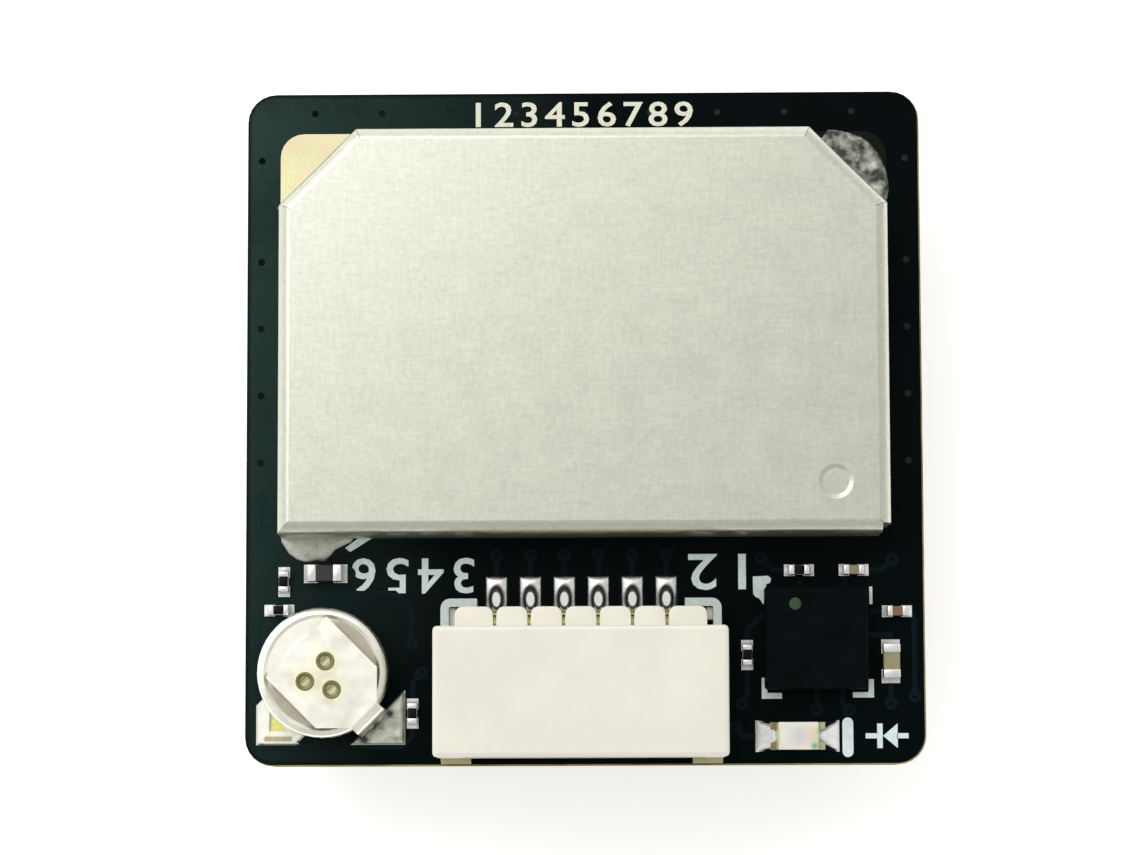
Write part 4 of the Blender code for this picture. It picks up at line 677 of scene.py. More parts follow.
# Finishes by name: group and name of the colour, maker, and the maker's other values
FINISHES = {
    "nickel silver sheet": ("module_can", "colour", sheet_material),
    "solder": ("module_connector", "solder_colour", solder_material),
    "dull solder": ("module_connector", "dull_colour", dull_solder_material),
    "clean solder": ("module_connector", "clean_colour", clean_solder_material),
    "bright tin": ("module_connector", "tin_colour", plated_material, 0.26),
    "ivory nylon": ("module_connector", "nylon_colour", moulded_material, 0.42),
    "nickel-plated steel": ("module_cell", "steel_colour", plated_material, 0.3),
    "heat-tinted steel": ("module_cell", "scorch_colour", plated_material, 0.45),
    "weld metal": ("module_cell", "weld_colour", plated_material, 0.4),
    "pale weld metal": ("module_cell", "pale_weld_colour", plated_material, 0.4),
    "black moulding compound": ("module_parts", "compound_colour", compound_material),
    "lasered compound": ("module_parts", "dot_colour", compound_material),
    "alumina substrate": ("module_parts", "substrate_colour", fired_material, 0.6),
    "glass overcoat": ("module_parts", "resistor_colour", fired_material, 0.4, 0.12),
    "olive dielectric": ("module_parts", "olive_colour", fired_material, 0.5),
    "brown dielectric": ("module_parts", "brown_colour", fired_material, 0.5),
    "dark ferrite": ("module_parts", "ferrite_colour", fired_material, 0.55),
    "white laminate": ("module_parts", "laminate_colour", fired_material, 0.5),
    "beige ceramic": ("module_antenna", "ceramic_colour", fired_material, 0.6),
    "fired silver": ("module_antenna", "silver_colour", plated_material, 0.42, 0.05 * MM, 0.006 * MM),
    "foam tape": ("module_antenna", "tape_colour", foam_material),
}


def finish(name):
    """The finish of this name, made the first time that a piece asks for it."""
    group, colour, maker, *values = FINISHES[name]
    settings = getattr(bpy.context.scene, group)
    return bpy.data.materials.get(name) or maker(name, getattr(settings, colour), *values)


# Pieces

# How deep solder is rooted in the board, how deep its skin sinks outside, and its slope there
HEAP_ROOT = 0.08 * MM
HEAP_SINK = 0.06 * MM
SKIRT = 5.0
# A strip's corners reach out no further than its half width over this
MITRE_LIMIT = 0.3


def new_piece(name, bm, finishes, slot, replaces=(), smooth=35.0, solid=True):
    """Turns a bmesh into a finished piece that rides on the frame."""
    bmesh.ops.remove_doubles(bm, verts=bm.verts, dist=MERGE)
    if solid:
        bmesh.ops.recalc_face_normals(bm, faces=bm.faces)
    mesh = bpy.data.meshes.new(name)
    bm.to_mesh(mesh)
    bm.free()
    for look in finishes:
        mesh.materials.append(look)
    mesh.polygons.foreach_set("use_smooth", [True] * len(mesh.polygons))
    mesh.set_sharp_from_angle(angle=math.radians(smooth))
    piece = bpy.data.objects.new(name, mesh)
    bpy.context.scene.collection.objects.link(piece)
    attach(piece, "root")
    if replaces:
        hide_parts(*replaces)
    return piece


def dress(names, look):
    """Gives CAD nodes their finish."""
    for name in names:
        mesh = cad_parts[name].data
        mesh.materials.clear()
        mesh.materials.append(look)


@contextmanager
def painted(bm, material):
    """Gives a material slot to the faces that are made inside it."""
    before = set(bm.faces)
    yield
    for face in set(bm.faces) - before:
        face.material_index = material


def take_in(bm, mesh):
    """Adds a mesh to a bmesh and removes it."""
    bm.from_mesh(mesh)
    bpy.data.meshes.remove(mesh)


def set_down(bm, made, place):
    """Adds a bmesh to another in its place."""
    bmesh.ops.transform(made, verts=made.verts, matrix=place)
    mesh = bpy.data.meshes.new("made")
    made.to_mesh(mesh)
    made.free()
    take_in(bm, mesh)


def new_verts(made):
    return [item for item in made["geom"] if isinstance(item, bmesh.types.BMVert)]


def extrude(bm, faces, shift):
    moved = bmesh.ops.extrude_face_region(bm, geom=faces)
    bmesh.ops.translate(bm, verts=new_verts(moved), vec=shift)


def add_prism(bm, outline, low, high):
    """Extrudes a closed outline in XY from one level to another."""
    face = bm.faces.new([bm.verts.new((x, y, low)) for x, y in outline])
    extrude(bm, [face], UP * (high - low))


def arc(centre, radius, start, end, segments):
    """Points on an arc, both ends included. Angles in degrees."""
    points = []
    for i in range(segments + 1):
        angle = math.radians(start + (end - start) * i / segments)
        points.append((centre[0] + radius * math.cos(angle), centre[1] + radius * math.sin(angle)))
    return points


def circle(centre, radius, segments):
    return arc(centre, radius, 0, 360 * (segments - 1) / segments, segments - 1)


def loft(bm, sections):
    """Joins closed sections of equal point count into one body with flat ends."""
    rings = []
    for section in sections:
        verts = [bm.verts.new(point) for point in section]
        rings.append((verts, [bm.edges.new(pair) for pair in zip(verts, verts[1:] + verts[:1])]))
    for (_, first), (_, second) in zip(rings, rings[1:]):
        bmesh.ops.bridge_loops(bm, edges=first + second)
    for verts, _ in (rings[0], rings[-1]):
        bm.faces.new(verts)


def add_block(bm, low, high, bevel, segments, material=0):
    """A block between two corners, its edges rounded."""
    low, high = Vector(low), Vector(high)
    place = Matrix.Translation((low + high) / 2) @ Matrix.Diagonal((*(high - low), 1.0))
    with painted(bm, material):
        verts = bmesh.ops.create_cube(bm, size=1.0, matrix=place)["verts"]
        edges = {edge for vert in verts for edge in vert.link_edges}
        bmesh.ops.bevel(bm, geom=list(edges), offset=bevel, segments=segments, profile=0.5,
                        affect="EDGES", material=-1)


def spin(bm, profile, centre, segments, closed=True, material=0):
    """Turns a profile of (radius, height) points once round an upright axis."""
    axis = Vector((*centre, 0))
    verts = [bm.verts.new(axis + Vector((radius, 0, height))) for radius, height in profile]
    following = verts[1:] + verts[:1] if closed else verts[1:]
    edges = [bm.edges.new(pair) for pair in zip(verts, following)]
    with painted(bm, material):
        bmesh.ops.spin(bm, geom=verts + edges, cent=axis, axis=UP, angle=2 * math.pi,
                       steps=segments, use_merge=True)


def ribbon(bm, points, width, low, high):
    """A flat strip of even width along a path of (x, y) points, with mitred corners."""
    path = [Vector((*point, low)) for point in points]
    ways = [(after - before).normalized() for before, after in zip(path, path[1:])]
    rails = []
    for point, before, after in zip(path, ways[:1] + ways, ways + ways[-1:]):
        side = (before + after).normalized().cross(UP)
        reach = width / 2 / max(side.dot(before.cross(UP)), MITRE_LIMIT)
        rails.append((bm.verts.new(point - side * reach), bm.verts.new(point + side * reach)))
    faces = [bm.faces.new((a[0], a[1], b[1], b[0])) for a, b in zip(rails, rails[1:])]
    extrude(bm, faces, UP * (high - low))


def no_darkening(x, y):
    return 0.0


def heap(bm, low, high, cell, level, height, flux=no_darkening, material=0):
    """Solder over a rectangle, rooted in the board. Its skin follows level + height(x, y)."""
    counts = [max(2, round((high[i] - low[i]) / cell)) for i in range(2)]
    middle = Vector(((low[0] + high[0]) / 2, (low[1] + high[1]) / 2, BOARD_TOP - HEAP_ROOT))
    half = ((high[0] - low[0]) / 2, (high[1] - low[1]) / 2, 1.0, 1.0)
    with painted(bm, material):
        grid = bmesh.ops.create_grid(bm, x_segments=counts[0], y_segments=counts[1], size=1.0,
                                     matrix=Matrix.Translation(middle) @ Matrix.Diagonal(half))
        faces = list({face for vert in grid["verts"] for face in vert.link_faces})
        layer = bm.verts.layers.float.get("flux") or bm.verts.layers.float.new("flux")
        top = new_verts(bmesh.ops.extrude_face_region(bm, geom=faces))
    for vert in top:
        x, y = vert.co.x, vert.co.y
        vert.co.z = max(level + height(x, y), BOARD_TOP - HEAP_SINK)
        vert[layer] = flux(x, y)


def depth_inside(x, y, outline):
    """Distance from a point to an outline's nearest side, less than zero outside it."""
    inside, nearest = False, math.inf
    for (x1, y1), (x2, y2) in zip(outline, outline[1:] + outline[:1]):
        if (y1 > y) != (y2 > y) and x < x1 + (y - y1) / (y2 - y1) * (x2 - x1):
            inside = not inside
        run = Vector((x2 - x1, y2 - y1))
        share = max(0.0, min(1.0, Vector((x - x1, y - y1)).dot(run) / run.length_squared))
        nearest = min(nearest, math.hypot(x - x1 - share * run.x, y - y1 - share * run.y))
    return nearest if inside else -nearest


def rounded_skin(outline, height, slope, rough, wave_size):
    """Height of solder inside an outline, rounded at its rim and a little uneven."""
    def skin(x, y):
        depth = depth_inside(x, y, outline)
        if depth < 0:
            return depth * SKIRT
        wave = noise.noise(Vector((x, y, 0)) / wave_size)
        return height * (1 - math.exp(-depth / slope)) * (1 + rough * wave)
    return skin


def pool(bm, outline, height, slope, cell, rough, flux=0.0, material=0):
    """A pool of solder that lies on the lands inside an outline."""
    margin = cell * 1.5
    low = [min(point[i] for point in outline) - margin for i in range(2)]
    high = [max(point[i] for point in outline) + margin for i in range(2)]
    heap(bm, low, high, cell, LAND_TOP, rounded_skin(outline, height, slope, rough, 0.3 * MM),
         lambda x, y: flux, material)


# Board

# Tracks that the mask covers: points, and whether the last one is a via
TRACKS = (
    ([(4.77, -6.4), (4.77, -6.05), (5.35, -5.47)], False),
    ([(4.77, -7.15), (4.77, -7.9), (4.62, -8.2)], True),
    ([(6.8, -7.7), (6.8, -8.38)], True),
    ([(7.55, -7.7), (7.55, -8.2), (7.75, -8.4)], True),
    ([(5.95, -4.29), (5.55, -4.29), (5.2, -3.94)], True),
    ([(6.31, -4.5), (6.31, -4.9)], False),
    ([(8.25, -4.29), (8.75, -4.29), (9.05, -3.99)], True),
    ([(7.65, -4.4), (7.65, -4.9)], False),
    ([(8.85, -5.51), (8.2, -5.51)], False),
    ([(9.5, -5.51), (9.68, -5.69), (9.68, -8.0)], True),
    ([(8.98, -6.5), (8.98, -6.2), (8.2, -6.2)], False),
    ([(8.98, -7.5), (8.98, -8.2)], True),
    ([(5.1, -9.16), (4.6, -9.16), (4.4, -8.9)], True),
    ([(-5.07, -8.1), (-5.07, -7.55), (-4.8, -7.28)], True),
    ([(-5.07, -8.85), (-5.07, -9.1), (-5.4, -9.43), (-6.6, -9.43)], False),
    ([(-9.35, -5.42), (-9.68, -5.75), (-9.68, -8.9)], True),
    ([(-8.65, -5.42), (-8.1, -5.42), (-7.6, -4.92), (-5.6, -4.92), (-5.1, -5.42), (-5.1, -6.4)], True),
    ([(-8.2, -4.34), (-8.5, -4.34)], False),
    ([(-7.1, -4.34), (-6.95, -4.34)], True),
    ([(-8.86, -4.2), (-9.2, -3.86), (-9.62, -3.44), (-9.62, -2.2)], True),
)
# Where each contact's own track starts and ends behind its foot
CONTACT_TRACK = (0.3 * MM, 1.1 * MM)
STITCHES = [(x, 9.42) for x in range(-8, 9, 2)]
STITCHES += [(side * 9.58, y) for side in (-1, 1) for y in (8.0, 4.95, 2.95, 0.95, -1.05)]
PLUG_RADIUS = 0.112 * MM
PLUG_TOP, PLUG_FOOT = BOARD_TOP - 0.03 * MM, BOARD_TOP - 0.5 * MM


def contact_places():
    """Middle and back of each contact's foot, from the frame."""
    boxes = [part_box(name) for name in CONTACTS]
    return [((low.x + high.x) / 2, high.y) for low, high in boxes]


class MODULE_OT_dress_board(Operator):
    """Gives the board its mask, its laminate edges and its gold lands"""

    bl_idname = "module.dress_board"
    bl_label = "Board"

    def execute(self, context):
        dress(["circuit_board"], board_material(context.scene.module_board))
        return {"FINISHED"}


class MODULE_OT_add_tracks(Operator):
    """Adds the tracks and small vias that show through the mask"""

    bl_idname = "module.add_tracks"
    bl_label = "Tracks"

    def execute(self, context):
        settings = context.scene.module_board
        low, high = BOARD_TOP - 0.01 * MM, BOARD_TOP + settings.track_height
        radius = settings.via_radius
        via_profile = [(radius * 0.4, low), (radius, low), (radius, high),
                       (radius * 0.85, high + 0.004 * MM), (radius * 0.55, high),
                       (radius * 0.4, high - 0.006 * MM)]
        paths = [([(x, back + part) for part in CONTACT_TRACK], True) for x, back in contact_places()]
        paths += [(metres(points), via) for points, via in TRACKS]
        bm = bmesh.new()
        for points, via in paths:
            ribbon(bm, points, settings.track_width, low, high)
            if via:
                spin(bm, via_profile, points[-1], 20)
        copper = mask_surface("solder mask over copper", settings.track_colour,
                              settings.track_shade_colour)
        new_piece("mask_tracks", bm, [copper.material], "board_mask")

        plugs = bmesh.new()
        for place in metres(STITCHES):
            add_prism(plugs, circle(place, PLUG_RADIUS, 16), PLUG_FOOT, PLUG_TOP)
        dark = mask_surface("solder mask in holes", settings.hole_colour, settings.far_hole_colour)
        new_piece("hole_plugs", plugs, [dark.material], "board_mask")
        return {"FINISHED"}


def text_mesh(body, low, high, level, thickness, turned):
    """Plain figures that fill the box from low to high, as a closed mesh standing on a level."""
    curve = bpy.data.curves.new("figures", "FONT")
    curve.body = body
    curve.align_x = "CENTER"
    curve.space_character = 1.25
    curve.offset = 0.012
    curve.extrude = 0.5
    curve.resolution_u = 3
    maker = bpy.data.objects.new("figures", curve)
    bpy.context.scene.collection.objects.link(maker)
    bpy.context.view_layer.update()
    mesh = bpy.data.meshes.new_from_object(maker.evaluated_get(
        bpy.context.evaluated_depsgraph_get()))
    bpy.data.objects.remove(maker)
    bpy.data.curves.remove(curve)
    corners = [vert.co for vert in mesh.vertices]
    small = Vector([min(corner[i] for corner in corners) for i in range(3)])
    large = Vector([max(corner[i] for corner in corners) for i in range(3)])
    size = large - small
    scale = ((high[0] - low[0]) / size.x, (high[1] - low[1]) / size.y, thickness / size.z)
    middle = Vector(((low[0] + high[0]) / 2, (low[1] + high[1]) / 2, level + thickness / 2))
    place = Matrix.Translation(middle) @ Matrix.Rotation(math.pi if turned else 0.0, 4, "Z")
    mesh.transform(place @ Matrix.Diagonal((*scale, 1.0)) @ Matrix.Translation(-(small + large) / 2))
    return mesh


# Figures: text, lower left and upper right corner, and whether they are turned round
FIGURES = (
    ("3456", (-6.87, -4.94), (-3.26, -3.88), True),
    ("12", (3.05, -4.86), (4.75, -3.8), True),
    ("123456789", (-3.2, 8.98), (3.28, 9.74), False),
)
# Strokes: points and width
STROKES = (
    ([(5.27, -7.45), (5.27, -7.98), (5.78, -7.98)], 0.17),
    ([(7.86, -7.96), (8.4, -7.96), (8.4, -7.5)], 0.16),
    ([(8.42, -4.78), (8.42, -5.3)], 0.09),
    ([(8.22, -9.16), (8.56, -9.16)], 0.15),
    ([(9.14, -9.16), (9.48, -9.16)], 0.15),
    ([(8.64, -8.8), (8.64, -9.52)], 0.16),
)
FILLED_MARKS = (
    [(9.16, -8.8), (8.73, -9.16), (9.16, -9.52)],
    [(4.95, -4.47), (5.4, -4.45), (5.49, -4.53), (5.46, -4.66), (5.34, -4.7), (5.37, -5.08),
     (5.36, -5.27), (5.25, -5.29), (5.14, -5.12), (5.02, -5.06), (4.96, -4.98)],
)
# The bar that runs up on to the can's land
LAND_BAR = [(-7.07, -3.58), (-6.62, -3.25), (-6.2, -3.25), (-6.92, -3.7)]
# The bar with round ends beside the lamp
ROUND_BAR = ((7.7, -8.78), (7.7, -9.62))
ROUND_BAR_RADIUS = 0.16 * MM
INK_ROOT = 0.004 * MM


class MODULE_OT_add_printed_marks(Operator):
    """Adds the printed contact numbers, the chip's corners and the plain marks on the board"""

    bl_idname = "module.add_printed_marks"
    bl_label = "Printed marks"

    def execute(self, context):
        settings = context.scene.module_board
        low, high = BOARD_TOP - INK_ROOT, BOARD_TOP + settings.ink_height
        bm = bmesh.new()
        for body, start, end, turned in FIGURES:
            take_in(bm, text_mesh(body, *metres([start, end]), low, high - low, turned))
        for points, width in STROKES:
            ribbon(bm, metres(points), width * MM, low, high)
        for outline in FILLED_MARKS:
            add_prism(bm, metres(outline), low, high)
        add_prism(bm, metres(LAND_BAR), low, LAND_TOP + settings.ink_height)
        upper, lower = metres(ROUND_BAR)
        bar = arc(upper, ROUND_BAR_RADIUS, 0, 180, 8) + arc(lower, ROUND_BAR_RADIUS, 180, 360, 8)
        add_prism(bm, bar, low, high)
        new_piece("printed_marks", bm, [ink_material(settings)], "white_laminate")
        return {"FINISHED"}


# Shield can

# Gap at a wall's ends, width of the flat strip before a bend, and the notch at one corner
CAN_SEAM = 0.016 * MM
CAN_STRIP = 0.003 * MM
CAN_NOTCH = 0.24 * MM
NOTCHED_CORNER = 1
BEND_STEPS = 9
# Faces whose normals rise further than this are shaded flat
FLAT = 0.99999
DIMPLE_FROM_SIDE = 1.6 * MM
DIMPLE_FROM_FRONT = 1.45 * MM
# Shares of the dimple's radius and depth, from its rim inward
DIMPLE_SHAPE = ((0.94, 0.1), (0.88, 0.4), (0.81, 0.75), (0.75, 0.95), (0.68, 1.0))


def cut_rectangle(low, high, cut):
    """A rectangle with its two rear corners cut off."""
    return [(low.x, low.y), (high.x, low.y), (high.x, high.y - cut), (high.x - cut, high.y),
            (low.x + cut, high.y), (low.x, high.y - cut)]


def can_corners(settings):
    """Corners of the flat top plate, inside the bends."""
    bend = Vector((settings.bend, settings.bend, 0))
    outline = cut_rectangle(CAN_LOW + bend, CAN_HIGH - bend, settings.chamfer)
    return [Vector((x, y, CAN_HIGH.z)) for x, y in outline]


def vert_at(bm, place):
    return min(bm.verts, key=lambda vert: (vert.co - place).length)


def edge_between(bm, first, second):
    return next(edge for edge in bm.edges if {*edge.verts} == {first, second})


def extruded_edge(bm, edge, shift):
    verts = new_verts(bmesh.ops.extrude_edge_only(bm, edges=[edge]))
    bmesh.ops.translate(bm, verts=verts, vec=shift)
    return edge_between(bm, *verts)


def corner_mitre(corners, i):
    """How far a bend reaches past a corner for each unit that it reaches outward."""
    before = corners[i] - corners[i - 1]
    after = corners[(i + 1) % len(corners)] - corners[i]
    return math.tan(before.angle(after) / 2)


def add_plate(bm, corners, dimple, segments):
    """The can's flat top round a hole for the dimple. Returns where each corner's seam lies."""
    centre, radius = dimple
    outline, seams = [], []
    for i, corner in enumerate(corners):
        back = (corners[i - 1] - corner).normalized() * CAN_SEAM / 2
        on = (corners[(i + 1) % len(corners)] - corner).normalized() * CAN_SEAM / 2
        outline += [bm.verts.new(corner + step) for step in (back, Vector(), on)]
        seams.append((corner + back, corner + on))
    edges = [bm.edges.new(pair) for pair in zip(outline, outline[1:] + outline[:1])]
    ring = bmesh.ops.create_circle(bm, segments=segments, radius=radius,
                                   matrix=Matrix.Translation(centre))
    edges += {edge for vert in ring["verts"] for edge in vert.link_edges}
    filled = bmesh.ops.triangle_fill(bm, edges=edges, normal=UP, use_beauty=True)
    plate = [item for item in filled["geom"] if isinstance(item, bmesh.types.BMFace)]
    bmesh.ops.inset_region(bm, faces=plate, thickness=CAN_STRIP, use_boundary=True,
                           use_even_offset=True)
    return seams


def fold(bm, edge, along, radius, mitres, notches):
    """Bends a wall down out of the plate's edge, mitred at both ends or held back by a notch."""
    outward = along.cross(UP)
    ends = [0.0, 0.0]
    turned = math.pi / 2 / BEND_STEPS
    for step in range(BEND_STEPS):
        before, after = step * turned, (step + 1) * turned
        out = (math.sin(after) - math.sin(before)) * radius
        down = (math.cos(before) - math.cos(after)) * radius
        edge = extruded_edge(bm, edge, outward * out - UP * down)
        for i, vert in enumerate(sorted(edge.verts, key=lambda vert: vert.co.dot(along))):
            reach = min(mitres[i] * radius * math.sin(after), radius - notches[i])
            vert.co += along * (reach - ends[i]) * (1 if i else -1)
            ends[i] = reach
    return edge


def add_walls(bm, corners, seams, settings):
    """Folds the six walls down from the plate."""
    for i, (_, leaving) in enumerate(seams):
        pair = (i, (i + 1) % len(corners))
        start, end = vert_at(bm, leaving), vert_at(bm, seams[pair[1]][0])
        edge = fold(bm, edge_between(bm, start, end), (end.co - start.co).normalized(), settings.bend,
                    [corner_mitre(corners, corner) for corner in pair],
                    [CAN_NOTCH if corner == NOTCHED_CORNER else 0.0 for corner in pair])
        extruded_edge(bm, edge, -UP * (CAN_HIGH.z - settings.bend - CAN_LOW.z))


def add_dimple(bm, dimple, full_depth):
    """Sinks the round hole's rim down to a shallow stamped floor."""
    centre, full_radius = dimple
    rim = [edge for edge in bm.edges if edge.is_boundary
           and all((vert.co - centre).length < full_radius * 1.01 for vert in edge.verts)]
    radius, depth = full_radius, 0.0
    for share, fall in DIMPLE_SHAPE:
        made = bmesh.ops.extrude_edge_only(bm, edges=rim)
        verts = new_verts(made)
        rim = [item for item in made["geom"] if isinstance(item, bmesh.types.BMEdge)
               and item.verts[0] in verts and item.verts[1] in verts]
        bmesh.ops.transform(bm, verts=verts, matrix=Matrix.Scale(share * full_radius / radius, 4),
                            space=Matrix.Translation(-centre))
        bmesh.ops.translate(bm, verts=verts, vec=-UP * (fall * full_depth - depth))
        radius, depth = share * full_radius, fall * full_depth
    bmesh.ops.edgeloop_fill(bm, edges=rim)


class MODULE_OT_add_shield_can(Operator):
    """Folds the shield can from one sheet and stamps its dimple"""

    bl_idname = "module.add_shield_can"
    bl_label = "Shield can"

    def execute(self, context):
        settings = context.scene.module_can
        corners = can_corners(settings)
        centre = Vector((CAN_HIGH.x - DIMPLE_FROM_SIDE, CAN_LOW.y + DIMPLE_FROM_FRONT, CAN_HIGH.z))
        dimple = (centre, settings.dimple)
        bm = bmesh.new()
        seams = add_plate(bm, corners, dimple, context.scene.module_stage.round_segments)
        add_walls(bm, corners, seams, settings)
        add_dimple(bm, dimple, settings.dimple_depth)
        bmesh.ops.recalc_face_normals(bm, faces=bm.faces)
        if max(bm.faces, key=lambda face: face.calc_area()).normal.z < 0:
            bmesh.ops.reverse_faces(bm, faces=bm.faces)
        piece = new_piece("can_shell", bm, [finish("nickel silver sheet")], "can_sheet",
                          ["shield_can"], solid=False)
        for polygon in piece.data.polygons:
            polygon.use_smooth = polygon.normal.z < FLAT
        uses = Counter(key for polygon in piece.data.polygons for key in polygon.edge_keys)
        for edge in piece.data.edges:
            edge.use_edge_sharp = edge.use_edge_sharp or uses[edge.key] == 1
        sheet = piece.modifiers.new("sheet", "SOLIDIFY")
        sheet.thickness = settings.sheet
        sheet.offset = -1.0
        sheet.use_even_offset = True
        return {"FINISHED"}


# Steps of the solder along the walls: share of its width, height
CAN_FILLET = ((1.0, 0.03 * MM), (0.55, 0.07 * MM), (0.25, 0.13 * MM))
# How far from the front corners it stops, at the right past the bend
FILLET_START = 0.1 * MM
FILLET_END = 1.2 * MM
FILLET_ROOT = 0.005 * MM
# Painted shadow along the left cut corner, where the can's wall shades the land, in the dark flux colour:
# reach, height and how dark it is
CHAMFER_SHADOW = 0.33 * MM
CHAMFER_SHADOW_HEIGHT = 0.012 * MM
CHAMFER_SHADOW_DARKNESS = 0.85

# Pools over the can's land: outline, height, unevenness and flux
CAN_POOLS = (
    ([(7.3, 8.85), (7.62, 8.82), (7.95, 8.76), (8.31, 8.62), (8.62, 8.37), (8.86, 8.03), (9.02, 7.6),
      (9.09, 7.1), (9.0, 6.6), (8.8, 6.5), (6.95, 8.4)], 0.09, 0.5, 1.25),
    ([(-8.8, -2.05), (-8.95, -2.15), (-9.03, -2.6), (-9.0, -3.1), (-8.94, -3.4), (-8.74, -3.72),
      (-8.5, -3.9), (-8.25, -3.98), (-7.86, -3.94), (-7.68, -3.97), (-7.5, -3.82), (-7.36, -3.64),
      (-7.14, -3.53), (-6.9, -3.42), (-6.8, -3.3), (-7.0, -3.2), (-8.7, -3.2)], 0.07, 0.3, 0.0),
)


class MODULE_OT_add_can_solder(Operator):
    """Runs solder along the can's walls and over two corners of its land"""

    bl_idname = "module.add_can_solder"
    bl_label = "Can solder"

    def execute(self, context):
        settings = context.scene.module_can
        cut = settings.chamfer + settings.bend * (2 - math.sqrt(2))
        outline = cut_rectangle(CAN_LOW, CAN_HIGH, cut)
        path = [(CAN_HIGH.x, CAN_LOW.y + settings.bend + FILLET_START), *outline[2:],
                (CAN_LOW.x, CAN_LOW.y + FILLET_END)]
        root = LAND_TOP - FILLET_ROOT
        bm = bmesh.new()
        for share, rise in CAN_FILLET:
            ribbon(bm, path, 2 * settings.fillet * share, root, LAND_TOP + rise)
        # Painted shadow: a dark strip on the land beside the left cut corner
        layer = bm.verts.layers.float.new("flux")
        before = set(bm.verts)
        ribbon(bm, [outline[5], outline[4]], 2 * CHAMFER_SHADOW, root, LAND_TOP + CHAMFER_SHADOW_HEIGHT)
        for vert in set(bm.verts) - before:
            vert[layer] = CHAMFER_SHADOW_DARKNESS
        for shape, height, rough, flux in CAN_POOLS:
            pool(bm, metres(shape), height * MM, 0.08 * MM, 0.035 * MM, rough, flux, 1)
        new_piece("can_solder", bm, [finish("solder"), finish("dull solder")], "tin", smooth=60.0)
        return {"FINISHED"}


# Connector


class MODULE_OT_dress_connector(Operator):
    """Gives the housing, the contacts and the nails their finishes"""

    bl_idname = "module.dress_connector"
    bl_label = "Connector"

    def execute(self, context):
        settings = context.scene.module_connector
        dress(["connector_housing"], finish("ivory nylon"))
        dress(NAILS, self.nail_plating(settings))
        dress(CONTACTS, self.contact_plating(settings))
        return {"FINISHED"}

    @staticmethod
    def nail_plating(settings):
        """Bluish tin, olive-tan at the toes in front of the housing."""
        surface = Surface("nail plating", settings.nail_colour, 0.34, 1.0)
        toe = surface.below(surface.axes[1], HOUSING_LOW.y + 0.02 * MM)
        grain = surface.contrast(surface.noise(0.08 * MM))
        tan_toes = surface.shade(grain, 0.85, 1.05, settings.toe_colour)
        surface.set("Base Color", surface.mix(toe, surface.shade(grain, 0.92, 1.05), tan_toes))
        surface.vary("Roughness", grain, 0.28, 0.42)
        surface.relief(grain, 0.002 * MM, 0.5)
        return surface.material

    @staticmethod
    def contact_plating(settings):
        """Gold flash inside the housing, painted dark olive as the shade in the comb's slits, and bright
        tin on the tails.
        """
        surface = Surface("contact plating", settings.tin_colour, 0.28, 1.0)
        tail = surface.spread(surface.axes[1], HOUSING_HIGH.y - 0.05 * MM, HOUSING_HIGH.y + 0.05 * MM)
        grain = surface.contrast(surface.noise(0.06 * MM))
        # Gold flash darkened with painted shade
        gold = surface.shade(grain, 0.85, 1.05, settings.flash_and_shade_colour)
        surface.set("Base Color", surface.mix(tail, gold, surface.shade(grain, 0.94, 1.04)))
        surface.relief(grain, 0.002 * MM, 0.5)
        return surface.material


# The comb's lips: top level, depth from the back, reach past the outer contacts, slits, corners
COMB_TOP = 7.45 * MM
COMB_DEPTH = 0.6 * MM
COMB_END = 1.11 * MM
COMB_SLIT = 0.1 * MM
COMB_CORNER = 0.23 * MM
LIP_RISE, LIP_SINK = 0.02 * MM, 0.17 * MM
LIP_OVERHANG = 0.01 * MM
LIP_BEVEL = 0.05 * MM
# The webs between the outer lips and the nails
NAIL_INNER = 0.29 * MM
WEB_SHORT = 0.24 * MM
WEB_SET_BACK = 0.02 * MM
WEB_LOW, WEB_TOP = LAND_TOP + 0.2 * MM, 6.85 * MM


class MODULE_OT_add_comb_teeth(Operator):
    """Adds the rounded lips of the comb, which close over the contacts, and its end webs"""

    bl_idname = "module.add_comb_teeth"
    bl_label = "Comb teeth"

    def execute(self, context):
        ways = [x for x, _ in contact_places()]
        stops = [ways[0] - COMB_END - COMB_SLIT, *ways, ways[-1] + COMB_END + COMB_SLIT]
        rear, front = HOUSING_HIGH.y + LIP_OVERHANG, HOUSING_HIGH.y - COMB_DEPTH
        bm = bmesh.new()
        for start, end in zip(stops, stops[1:]):
            left, right = start + COMB_SLIT / 2, end - COMB_SLIT / 2
            outline = [(left, front), (right, front)]
            outline += arc((right - COMB_CORNER, rear - COMB_CORNER), COMB_CORNER, 0, 90, 6)
            outline += arc((left + COMB_CORNER, rear - COMB_CORNER), COMB_CORNER, 90, 180, 6)
            add_prism(bm, outline, COMB_TOP - LIP_SINK, COMB_TOP + LIP_RISE)
        rims = [edge for edge in bm.edges
                if all(vert.co.z > COMB_TOP and vert.co.y > front + MERGE for vert in edge.verts)]
        bmesh.ops.bevel(bm, geom=rims, offset=LIP_BEVEL, segments=3, profile=0.5, affect="EDGES",
                        material=-1)
        new_piece("comb_teeth", bm, [finish("ivory nylon")], "ivory_nylon")

        left_nail, right_nail = (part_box(name) for name in NAILS)
        back = rear - WEB_SET_BACK
        webs = bmesh.new()
        for left, right, start in (
                (left_nail[0].x + NAIL_INNER, stops[0] + COMB_SLIT / 2, front),
                (stops[-1] - COMB_SLIT / 2, right_nail[1].x - NAIL_INNER, front + WEB_SHORT)):
            add_prism(webs, [(left, start), (right, start), (right, back), (left, back)], WEB_LOW,
                      WEB_TOP)
        new_piece("comb_webs", webs, [finish("ivory nylon")], "ivory_nylon")
        return {"FINISHED"}


